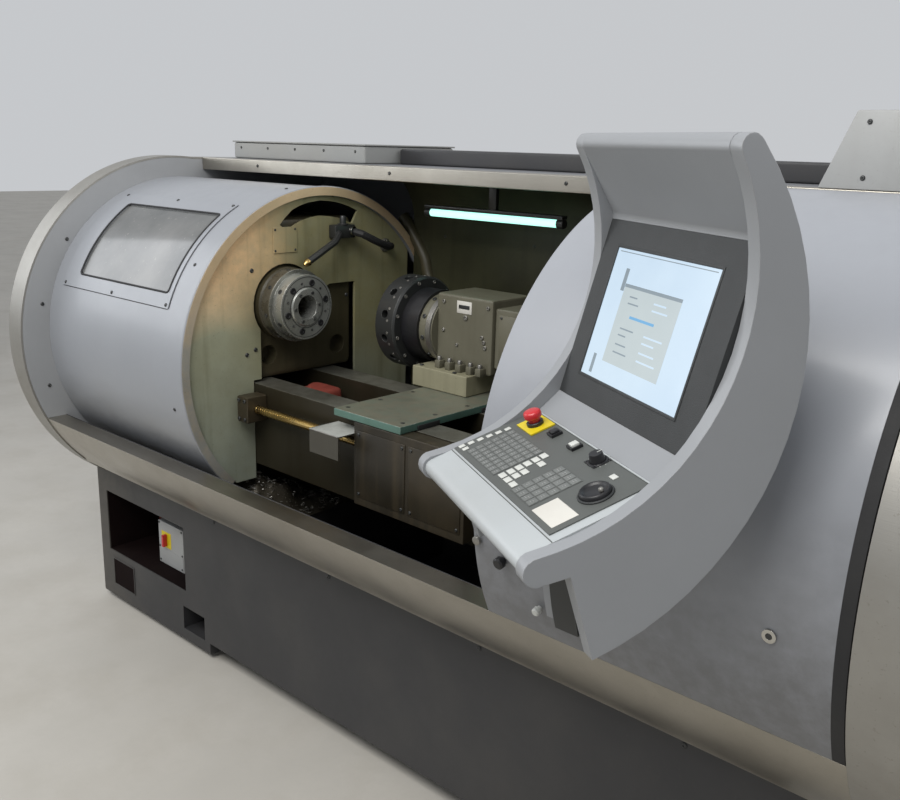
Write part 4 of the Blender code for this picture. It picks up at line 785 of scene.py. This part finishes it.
def heap_of_chips():
    """Curled chips on a heap that lies on the base under the end plate."""
    verts = []
    for column in range(HEAP_COLUMNS + 1):
        for row in range(HEAP_ROWS + 1):
            x = HEAP_CORNER[0] + HEAP_SIDE * column / HEAP_COLUMNS
            y = HEAP_CORNER[1] + HEAP_SIDE * row / HEAP_ROWS
            verts.append(at(x, y, HEAP_BASE - 0.0004 + heap_height(x, y)))
    faces = []
    for column in range(HEAP_COLUMNS):
        for row in range(HEAP_ROWS):
            corner = column * (HEAP_ROWS + 1) + row
            across = corner + HEAP_ROWS + 1
            middle = (verts[corner].z + verts[corner + 1].z + verts[across + 1].z) / 3
            if middle > HEAP_BASE:
                faces.append((corner, across, across + 1, corner + 1))
    Shape("chip_heap").add(verts, faces, HERE).piece("chip_heap", smooth=80)
    dice = random.Random(7)
    chips = Shape("chips")
    for number in range(420):
        x, y = -0.7 + 0.4 * dice.random() ** 1.3, dice.uniform(0.045, 0.4)
        height = heap_height(x, y)
        if height < 0.002:
            continue
        turn = turned_by(dice.uniform(0, math.tau), "Z") @ turned_by(dice.uniform(-0.5, 0.5), "Y")
        radius, rise, bend = dice.uniform(0.004, 0.011), dice.uniform(0.001, 0.005), dice.uniform(2.0, 9.0)
        path = []
        for step in range(10):
            angle = bend * step / 9
            path.append((radius * math.cos(angle), radius * math.sin(angle), rise * angle / 6))
        chips.sweep(path, dice.uniform(0.0008, 0.0015), 4, place(x, y, HEAP_BASE + height) @ turn)
    chips.piece("bare_steel")


def dress_carriage():
    wipers = Shape("saddle_wipers")
    for x in ((-0.159, -0.1555), (0.1205, 0.124)):
        for y in ((0.062, 0.15), (0.335, 0.428)):
            wipers.block(x, y, (1.0476, 1.062), 0.0008)
    wipers.piece("rubber", "carriage")
    bolts("saddle_screws", grid((-0.13, 0.095), (0.03, 0.16, 0.3), (1.07,), UP), 0.007, 0.0004, "carriage")
    panels = Shape("apron_panels")
    for x in ((-0.052, 0.142), (0.156, 0.348)):
        panels.block(x, (-0.0085, -0.0059), (0.825, 1.025))
    panels.piece("apron_paint", "carriage")
    frames = grid((-0.042, 0.132, 0.166, 0.338), (-0.0085,), (0.836, 1.014))
    screws("apron_screws", frames, 0.005, 0.003, "carriage")
    hem = Shape("screw_cover_hem")
    corner = at(-0.19, -0.066, 1.0115)
    for end in (at(-0.19, 0.045, 1.0115), at(-0.066, -0.066, 1.0115)):
        hem.sweep([corner, end], 0.0016, 8)
    hem.piece("bare_steel", "carriage")


LUG_PLACES = (-0.118, -0.075, -0.032, 0.012, 0.05)


def dress_turret():
    disc_turn = math.pi / 12
    for name, reach, x, angles, axis, radius, rise in (
        ("turret_disc_screws", 0.137, -0.272, even(12, disc_turn), RIGHT, 0.0065, 0.0025),
        ("turret_grub_screws", 0.153, -0.3, even(24, disc_turn / 2), None, 0.0045, 0.0012),
        ("turret_hub_screws", 0.036, -0.3662, (0.3, 1.35, 2.4, 3.44, 4.49, 5.54), LEFT, 0.006, 0.004),
    ):
        bolts(name, ring_frames(TURRET, reach, x, angles, axis), radius, rise, "turret", "bare_steel")
    hub = ((0, 0.007), (0.018, 0.007), (0.021, 0.005), (0.021, 0), (0, 0))
    turned("turret_hub_cap", "ground_steel", "turret", hub, facing((-0.366, *TURRET), LEFT), 32)
    body = "cross_slide"
    band = ((0.1087, 0.05), (0.1125, 0.048), (0.1125, 0.03), (0.1087, 0.028))
    turned("turret_flange_band", "bare_steel", body, band, facing((-0.1985, *TURRET), RIGHT), 64)
    frames = ring_frames(TURRET, 0.1085, -0.184, even(10, 0.2), None)
    bolts("turret_flange_bolts", frames, 0.007, 0.004, body)
    brick("turret_plate", "label_face", body, (-0.064, -0.004), (0.4188, 0.4201), (1.316, 1.354), 0.0004)
    brick("turret_plate_bar", "dark_steel", body, (-0.056, -0.012), (0.4182, 0.419), (1.33, 1.342), 0.0002)
    side = Shape("turret_side_screws")
    for x, z, radius in (
        (-0.027, 1.304, 0.008), (0.041, 1.252, 0.0062), (0.049, 1.238, 0.0062), (0.054, 1.222, 0.0062),
        (-0.118, 1.345, 0.006), (-0.118, 1.255, 0.006), (0.062, 1.345, 0.006), (-0.06, 1.215, 0.005),
    ):
        side.lathe(scaled(SOCKET_HEAD, radius, 0.0045), facing((x, 0.42, z), FRONT))
    side.piece("bare_steel", body)
    lugs = Shape("turret_lugs")
    for x in LUG_PLACES:
        lugs.block((x - 0.011, x + 0.011), (0.392, 0.4205), (1.1352, 1.16), 0.003)
    lugs.piece("turret_paint", body)
    bolts("turret_lug_screws", grid(LUG_PLACES, (0.404,), (1.16,), UP), 0.0078, 0.012, body, "bare_steel")
    spots = ((-0.176, 0.384), (-0.15, 0.612), (0.008, 0.612), (-0.03, 0.378))
    bolts("riser_screws", [facing((x, y, 1.135), UP) for x, y in spots], 0.007, 0.004, body)
    brick("drive_cover", "turret_paint", body, (0.098, 0.242), (0.4296, 0.4321), (1.178, 1.328), 0.0008)
    screws("drive_cover_screws", grid((0.106, 0.234), (0.4296,), (1.186, 1.32)), 0.0045, 0.0025, body)
    gland = ((0, 0.034), (0.008, 0.034), (0.01, 0.03), (0.013, 0.024), (0.015, 0.016, True),
             (0.015, 0.004, True), (0.019, 0.004), (0.019, 0), (0, 0))
    turned("drive_gland", "black_parts", body, gland, facing((0.2, 0.51, 1.346), UP))


LIGHT_ENDS = (-0.369, 0.156)
LIGHT_CENTRE = (0.62, 1.595)


def dress_inside():
    """Work light, and the rib and the screws of the splash wall."""
    left, right = (facing((x, *LIGHT_CENTRE), RIGHT) for x in (-0.393, LIGHT_ENDS[1]))
    length = LIGHT_ENDS[1] - LIGHT_ENDS[0]
    turned("light_tube", "lamp_cover", "machine", ((0, length), (0.0122, length), (0.0122, 0), (0, 0)),
           facing((LIGHT_ENDS[0], *LIGHT_CENTRE), RIGHT), 28, ("work_light",))
    housing = Shape("light_housing")
    housing.block((-0.393, 0.18), (0.606, 0.634), (1.6075, 1.62), 0.003)
    housing.block((-0.115, -0.085), (0.612, 0.628), (1.619, 1.733), 0.0015)
    housing.block((-0.13, -0.07), (0.606, 0.634), (1.727, 1.733), 0.0012)
    cap = ((0, 0.024), (0.0135, 0.024), (0.015, 0.0215), (0.015, 0.001), (0.0135, 0), (0, 0))
    housing.lathe(cap, left).lathe(cap, right).piece("dark_steel")
    points = ((-0.66, 1.555), (-0.63, 1.527), (-0.551, 1.425), (-0.529, 1.365), (-0.511, 1.301),
              (-0.505, 1.12), (-0.505, 0.8))
    tube("splash_ribs", "casting_paint", rounded_path([at(x, 0.775, z) for x, z in points]), 0.022, 16)
    screws("splash_screws", grid((-0.45, -0.05, 0.35, 0.75), (0.7795,), (0.72, 1.5)), 0.007)


# Inside of the left port in X and Y, and the slot low in the base's front in X and Z
PORT_X, PORT_Y = (-1.482, -0.944), (-0.026, 0.419)
SLOT_X = (-1.455, -1.308)
SLOT_Z = (0.08, 0.187)


def edge_strips(x, up, width):
    """The four sides of a border around a rectangle."""
    tall = (up[0] - width, up[1] + width)
    return (((x[0] - width, x[0]), tall), ((x[1], x[1] + width), tall),
            (x, (up[0] - width, up[0])), (x, (up[1], up[1] + width)))


def dress_base():
    # The port is lined with near-black sheets: painted shade inside the port.
    port = Shape("port_shade_lining").block((-1.481, -0.945), (0.412, 0.419), (0.222, 0.465))
    port.block((-1.4829, -1.4815), PORT_Y, (0.221, 0.466), 0)
    for z in ((0.2201, 0.2212), (0.4658, 0.4669)):
        port.block(PORT_X, PORT_Y, z, 0)
    port.piece("recess_maroon_shade")
    brick("switch_plate", "safety_yellow", "machine", (-1.217, -1.153), (0.0446, 0.0452), (0.293, 0.357), 0)
    brick("switch_box_lid", "light_grey", "machine", (-1.236, -1.074), (0.044, 0.0451), (0.224, 0.284), 0)
    frames = grid((-1.231, -1.079), (0.045,), (0.29, 0.386)) + grid((-1.228, -1.082), (0.044,), (0.234,))
    screws("switch_box_screws", frames, 0.0045, 0.0022)
    cables, glands = Shape("port_cables"), Shape("port_glands")
    for height, reach in ((0.34, 0.0), (0.3, 0.018), (0.26, 0.036)):
        path = [at(-1.07, 0.1, height), at(-1.045, 0.1, height), at(-1.01 + reach, 0.15, height - 0.01),
                at(-0.99 + reach, 0.28, 0.262), at(-0.99 + reach, 0.41, 0.27)]
        cables.sweep(rounded_path(path), 0.0075, 10)
        glands.lathe(((0.0078, 0.026), (0.01, 0.024), (0.012, 0.018), (0.0135, 0.014, True),
                      (0.0135, 0, True), (0.0078, 0)), facing((-1.07, 0.1, height), RIGHT))
    cables.piece("rubber")
    glands.piece("black_parts")
    unit = Shape("port_unit").block((-1.43, -1.28), (0.16, 0.34), (0.222, 0.36), 0.006)
    unit.lathe(((0, 0.02), (0.03, 0.02), (0.034, 0.016), (0.034, 0), (0, 0)),
               facing((-1.36, 0.16, 0.3), FRONT), 32)
    unit.piece("dull_red")
    # A dark plate stands in for the slot's opening: painted shade.
    brick("slot_shade_plate", "recess_maroon_shade", "machine", SLOT_X, (-0.0306, -0.0296), SLOT_Z, 0)
    rim = Shape("base_slot_rim")
    for x, z in edge_strips(SLOT_X, SLOT_Z, 0.004):
        rim.block(x, (-0.0325, -0.0296), z, 0.0008)
    rim.piece("frame_paint")
    nuts = Shape("foot_nuts")
    for x in (-0.898, 0.898):
        for y in (0.07, 0.98):
            nuts.lathe(((0.0115, 0.014), (0.0165, 0.014, True), (0.0165, 0.0, True), (0.0115, 0)),
                       place(x, y, 0.0705))
    nuts.piece("ground_steel")
    screws("base_front_screws", grid((-0.75, -0.15, 0.45, 1.05), (BASE_FRONT,), (0.545,)), 0.007)
    tube("sill_seam", "black_parts", [at(x, -0.1805, 0.8103) for x in (-1.457, 1.457)], 0.0012, 6)


def dress_roof():
    low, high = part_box("right_roof_box")
    slope = 0.07
    outline = ((low.x, low.z), (high.x, low.z), (high.x, high.z), (low.x + slope, high.z))
    box = Shape("sloped_roof_box").slab(outline, -high.y, -low.y, 0.004, turned_by(math.pi / 2, "X"))
    box.piece("light_grey", stands_for=("right_roof_box",))
    brick("roof_box_lid", "roof_paint", "machine", (-1.434, -0.656), (0.576, 1.044), (1.8052, 1.8105), 0.0015)
    screws("roof_box_screws", grid((-1.38, -1.045, -0.71, -1.21, -0.88), (0.58,), (1.785,)), 0.005, 0.003)
    screws("right_box_screws", grid((1.1, 1.3, 1.5), (0.45,), (1.77, 1.89)), rise=0.003)
    screws("rail_screws", grid((-1.1, -0.4, 0.3, 1.0), (0.448,), (1.722,)), rise=0.003)


CONSOLE = place(*CONSOLE_AT) @ turned_by(CONSOLE_TURN, "Z")
DECK = CONSOLE @ moved_by(*DECK_AT) @ turned_by(DECK_TILT, "X")
BEZEL = CONSOLE @ moved_by(*BEZEL_AT) @ turned_by(BEZEL_TILT, "X")


def on_deck(x=0.0, along=0.0, height=0.0):
    return DECK @ moved_by(x, along, height)


def square_ring(shape, frame_at, inner, outer, low, high):
    root = math.sqrt(2)
    profile = ((inner * root, high), (outer * root, high), (outer * root, low), (inner * root, low))
    shape.lathe(profile, frame_at @ turned_by(math.pi / 4, "Z"), 4)


def dress_deck():
    groove = Shape("deck_grooves")
    for along in (-0.001, 0.1825):
        groove.sweep([(-0.4872, along, 0.0), (-0.0298, along, 0.0)], 0.001, 6, DECK)
    groove.piece("panel_plastic", "door")


def screen_panel(name, u, v, look, level):
    """A thin field on the screen, in shares of its width from the left and of its height from the top."""
    x = tuple(SCREEN_X[0] + (SCREEN_X[1] - SCREEN_X[0]) * share for share in u)
    up = tuple(sorted(SCREEN_UP[1] - (SCREEN_UP[1] - SCREEN_UP[0]) * share for share in v))
    low = -0.0013 + 0.0002 * level
    brick(name, look, "door", x, up, (low, low + 0.0004), 0, BEZEL)


def dress_screen():
    for name, u, v, look, level in (
        ("window", (0.19, 0.76), (0.25, 0.85), "screen_page", 1),
        ("window_title", (0.19, 0.76), (0.25, 0.275), "screen_line", 2),
        ("top_line", (0.03, 0.97), (0.02, 0.027), "screen_line", 1),
        ("side_bar", (0.15, 0.185), (0.14, 0.31), "screen_line", 1),
        ("low_bar", (0.085, 0.115), (0.82, 0.97), "screen_line", 1),
    ):
        screen_panel(f"screen_{name}", u, v, look, level)
    for number, v in enumerate((0.33, 0.38, 0.57, 0.62, 0.69, 0.75)):
        reach = 0.08 + 0.03 * (number % 3)
        screen_panel(f"screen_entry_{number}", (0.27, 0.27 + reach), (v, v + 0.011), "screen_line", 2)
        screen_panel(f"screen_value_{number}", (0.52, 0.56 + reach), (v, v + 0.013), "screen_glass", 2)
    screen_panel("screen_blue_line", (0.33, 0.58), (0.47, 0.49), "screen_blue", 2)
    lip = Shape("screen_lip")
    for x, up in edge_strips(SCREEN_X, SCREEN_UP, 0.005):
        lip.block(x, up, (-0.0002, 0.0011), 0.0004, BEZEL)
    lip.piece("bezel_plastic", "door")


KEY_RISE, KEY_EDGE = 0.0016, 0.0006
SOFT_KEY, WIDE_KEY, SMALL_KEY = (0.006, 0.006), (0.0095, 0.0062), (0.008, 0.0055)
FIELD_RISE = 0.0005


def dress_keys():
    white = Shape("white_keys")

    def key(half, x, along, shift=0.0):
        white.block((-half[0] + shift, half[0] + shift), (-half[1], half[1]), (0, KEY_RISE), KEY_EDGE,
                    on_deck(x, along, PANEL_TOP))

    for number in range(6):
        share = number / 5
        key(SOFT_KEY, -0.478 + 0.016 * share, 0.0175 + 0.0915 * share, 0.0015)
    key(SOFT_KEY, -0.459, 0.0185)
    for number, count in enumerate((3, 2, 2, 1, 2, 1)):
        for row in range(count):
            key(WIDE_KEY, -0.292 + 0.0235 * row, 0.0275 + 0.0163 * number)
    key(SMALL_KEY, -0.12, 0.155)
    white.piece("key_plastic", "door")
    panel = on_deck(height=PANEL_TOP)
    fields = Shape("key_fields")
    for x in ((-0.448, -0.308), (-0.232, -0.152)):
        fields.block(x, (0.016, 0.116), (0, FIELD_RISE), 0, panel)
    fields.piece("panel_plastic", "door")
    grey, marks = Shape("grey_keys"), Shape("key_marks")
    dice = random.Random(3)
    for columns, rows, first, step, half in (
        (8, 6, (-0.4387, 0.0245), (0.0174, 0.0166), (0.0078, 0.0073)),
        (4, 5, (-0.2215, 0.0265), (0.0197, 0.0196), (0.0088, 0.0087)),
    ):
        for column in range(columns):
            for row in range(rows):
                x, along = first[0] + step[0] * column, first[1] + step[1] * row
                key_at = on_deck(x, along, PANEL_TOP + FIELD_RISE)
                grey.block((-half[0], half[0]), (-half[1], half[1]), (0, 0.0008), 0.0004, key_at)
                for line in (-0.0022, 0.0022):
                    reach = dice.uniform(0.0015, 0.005)
                    mark_at = key_at @ moved_by(dice.uniform(-0.002, 0.002), line, 0.0008)
                    marks.block((-reach, reach), (-0.0005, 0.0005), (0, 0.0002), 0, mark_at)
    grey.piece("panel_light", "door")
    marks.piece("light_grey", "door")
    brick("blank_label", "label_face", "door", (-0.1387, -0.063), (0.0146, 0.062), (0, FIELD_RISE), 0, panel)


STOP_AT, DIAL_AT, JOG_AT = (-0.422, 0.1525), (-0.191, 0.1635), (-0.0965, 0.1096)
BUTTONS = (
    ("black_push_button", "black_button", "black_parts", -0.353, 0.16),
    ("white_push_button", "white_button", "key_plastic", -0.2726, 0.161),
)


def dress_controls():
    stop, dial, jog = (on_deck(*spot) for spot in (STOP_AT, DIAL_AT, JOG_AT))
    mushroom = ((0, 0.0352), (0.006, 0.0351), (0.0125, 0.0344), (0.0155, 0.0328), (0.017, 0.03),
                (0.0172, 0.0245), (0.0166, 0.0215), (0.013, 0.02), (0.011, 0.0185), (0.011, 0.0108),
                (0, 0.0108))
    turned("stop_mushroom", "safety_red", "stop_button", mushroom, stop, 40, ("emergency_stop",))
    collar = ((0.0114, 0.0128), (0.015, 0.0128), (0.0162, 0.0116), (0.0162, 0.0056), (0.0114, 0.0056))
    turned("stop_collar", "black_parts", "door", collar, stop, 40)
    collars = Shape("button_collars")
    for *_, x, along in BUTTONS:
        square_ring(collars, on_deck(x, along), 0.0083, 0.0112, PANEL_TOP, 0.0078)
    collars.piece("black_parts", "door")
    half = (-0.0077, 0.0077)
    for node, body, look, x, along in BUTTONS:
        brick(f"{body}_cap", look, body, half, half, (0.0042, 0.0118), 0.0012, on_deck(x, along), (node,))
    ring = Shape("override_ring")
    ring.lathe(((0.0152, 0.0048), (0.018, 0.0044), (0.019, PANEL_TOP), (0.0152, PANEL_TOP)), dial, 40)
    square_ring(ring, dial, 0.015, 0.0178, PANEL_TOP, 0.0036)
    ring.piece("black_parts", "door")
    ticks = Shape("override_ticks")
    for number in range(11):
        turn = dial @ turned_by(math.radians(-135 + 27 * number), "Z")
        length = 0.0034 if number % 5 == 0 else 0.0022
        ticks.block((-0.0005, 0.0005), (0.0202, 0.0202 + length), (PANEL_TOP, PANEL_TOP + 0.0004), 0, turn)
    ticks.piece("key_plastic", "door")
    brick("override_pointer", "key_plastic", "override", (-0.0008, 0.0008), (0.003, 0.0135),
          (0.0182, 0.0188), 0, dial)
    bezel = ((0.0272, 0.0058), (0.0292, 0.0058), (0.0304, 0.0046), (0.0304, PANEL_TOP), (0.0272, PANEL_TOP))
    turned("jog_ring", "bezel_plastic", "door", bezel, jog, 48)
    wheel = ((0, 0.0088), (0.017, 0.0088), (0.0192, 0.01), (0.0212, 0.012), (0.024, 0.0126),
             (0.0256, 0.0114), (0.0264, 0.0095), (0.0264, 0.0028), (0, 0.0028))
    turned("jog_dish", "black_parts", "jog", wheel, jog, 48, ("jog_wheel",))
    spinner = ((0, 0.0162), (0.0034, 0.0158), (0.0046, 0.014), (0.0046, 0.0112), (0.0032, 0.0102),
               (0.0032, 0.0086), (0, 0.0086))
    turned("jog_spinner", "bare_steel", "jog", spinner, jog @ moved_by(0.0115, 0.006, 0), 20)


def door_y(x, z):
    """Depth, in the console's frame, of the door sheet behind a place."""
    sheet = ARCH[0] - math.sqrt(DOOR_RADIUS ** 2 - (z - ARCH[1]) ** 2)
    return (sheet - CONSOLE_AT[1] - x * math.sin(CONSOLE_TURN)) / math.cos(CONSOLE_TURN)


def dress_under_console():
    conduits, glands = Shape("console_conduits"), Shape("conduit_glands")
    for x in (-0.335, -0.3):
        wall = door_y(x, 1.15)
        path = [(x, 0.1, 1.293), (x, 0.101, 1.245), (x, 0.11, 1.2), (x, 0.14, 1.165),
                (x, wall - 0.02, 1.152), (x, wall, 1.15)]
        conduits.sweep(rounded_path(path), 0.01, 14, CONSOLE)
        glands.lathe(((0.0104, 0.03), (0.0165, 0.03, True), (0.0165, 0.012, True), (0.013, 0.008),
                      (0.013, 0), (0.0104, 0)), CONSOLE @ moved_by(x, 0.1, 1.262))
    conduits.piece("rubber", "door")
    glands.piece("bare_steel", "door")
    knob = ((0, 0.03), (0.014, 0.03), (0.018, 0.026), (0.018, 0.008), (0.01, 0.004), (0.01, -0.05),
            (0, -0.05))
    knob_at = CONSOLE @ moved_by(-0.255, 0.03, 1.19) @ turned_by(math.radians(95), "X")
    turned("console_clamp_knob", "black_parts", "door", knob, knob_at)


def dress_door():
    plug = ((0, 0.0042), (0.0012, 0.0042), (0.0055, 0.0048), (0.0058, 0.001), (0, 0.001))
    turned("lock_plug", "dark_steel", "door", plug, on_door(1.322, 1.029))
    # A dark steel foot on the door; its dark strip also paints the shade under the console's bracket.
    low = DOOR_RADIUS + 0.0002
    foot = Shape("console_foot_and_shade").bent_strip(ARCH, (low, 0.664), (-20.5, -8.5), (0.868, 0.925), 12)
    foot.piece("dark_steel", "door")
    stay = Shape("console_stay").bent_strip(ARCH, (low, 0.658), (-19.0, -10.5), (0.846, 0.868), 12)
    stay.piece("console_paint", "door")
    knob = ((0, 1), (0.7, 1), (1, 0.85), (1, 0.35), (0.6, 0.25), (0.6, 0), (0, 0))
    for name, x, z, look, radius, reach in (
        ("door_white_cap", 0.822, 0.888, "key_plastic", 0.009, 0.02),
        ("door_black_knob", 0.737, 0.975, "black_parts", 0.013, 0.022),
        ("door_fitting", 0.672, 1.004, "bare_steel", 0.01, 0.012),
    ):
        turned(name, look, "door", scaled(knob, radius, reach), on_door(x, z))


LOUVRE_STEP = 0.024


def louvres(name, count, x, z, y, body="machine"):
    """Rows of two stepped strips, one above the other on a rear face."""
    shape = Shape(name)
    for number in range(count):
        for side in (0, 1):
            low = z + LOUVRE_STEP * number + 0.006 * side
            shape.block(x, (y + 0.0005 * side, y + 0.004 + 0.004 * side), (low, low + 0.008), 0.0012)
    shape.piece("wall_paint", body)


CABINET_FACE = 1.3806
REAR_PANEL = (1.0795, 1.0835)


def dress_back():
    handle = Shape("cabinet_handle")
    handle.block((-1.215, -1.185), (CABINET_FACE, 1.388), (1.07, 1.21), 0.002)
    handle.block((-1.21, -1.19), (1.388, 1.402), (1.085, 1.195), 0.005, segments=3)
    handle.piece("black_parts", "cabinet_leaf")
    louvres("cabinet_louvres", 8, (-0.75, -0.35), 0.8, CABINET_FACE, "cabinet_leaf")
    glands, cables = Shape("cabinet_glands"), Shape("cabinet_cables")
    for x in (-0.62, -0.5, -0.38, -0.26):
        glands.lathe(((0.0105, 0.03), (0.018, 0.026), (0.02, 0.018, True), (0.02, 0, True), (0.0105, 0)),
                     place(x, 1.24, 1.62))
        spots = ((1.24, 1.615), (1.24, 1.665), (1.2, 1.705), (1.13, 1.712), (1.079, 1.7))
        cables.sweep(rounded_path([at(x, *spot) for spot in spots]), 0.01)
    glands.piece("black_parts")
    cables.piece("rubber")
    panels = Shape("rear_panels")
    for x in ((0.22, 0.8), (0.83, 1.41)):
        panels.block(x, REAR_PANEL, (0.66, 1.62), 0.0012)
    panels.block((-1.42, -0.72), REAR_PANEL, (1.645, 1.715), 0.0012)
    panels.piece("wall_paint")
    frames = grid((0.24, 0.51, 0.78, 0.85, 1.12, 1.39), (REAR_PANEL[1],), (0.68, 1.14, 1.6), BACK)
    screws("rear_panel_screws", frames, 0.007)
    louvres("rear_louvres", 7, (0.33, 0.69), 0.76, REAR_PANEL[1])


def dress_ends():
    for side, name in ((-1, "left"), (1, "right")):
        face = side * HALF_LENGTH
        x = sorted((face - side * 0.0005, face + side * 0.003))
        brick(f"{name}_end_panel", "wall_paint", "machine", x, (0.12, 0.96), (0.64, 1.02))
        frames = grid((face + side * 0.003,), (0.145, 0.54, 0.935), (0.665, 0.995), (side, 0, 0))
        screws(f"{name}_end_screws", frames, 0.007)
    end = facing((-HALF_LENGTH, *SPINDLE), LEFT)
    flange = ((0.04, 0.006), (0.074, 0.006), (0.078, 0.003), (0.078, -0.0005), (0.04, -0.0005))
    turned("bar_bore_flange", "bare_steel", "machine", flange, end, 48)
    cap = ((0, 0.004), (0.032, 0.004), (0.0395, 0.0015), (0.0395, -0.0005), (0, -0.0005))
    turned("bar_bore_cap", "black_parts", "machine", cap, end, 48)
    frames = ring_frames(SPINDLE, 0.062, -1.556, (0.5, 1.55, 2.6, 3.64, 4.69, 5.74), LEFT)
    bolts("bar_bore_screws", frames, 0.006, 0.004)


make_paints()
make_metals()
make_plastics()
make_camera()
make_studio()
dress_nodes()
smooth_cad_nodes()
dress_drum()
dress_end_plate()
dress_spindle()
dress_bed()
dress_carriage()
dress_turret()
dress_inside()
dress_base()
dress_roof()
dress_deck()
dress_screen()
dress_keys()
dress_controls()
dress_under_console()
dress_door()
dress_back()
dress_ends()
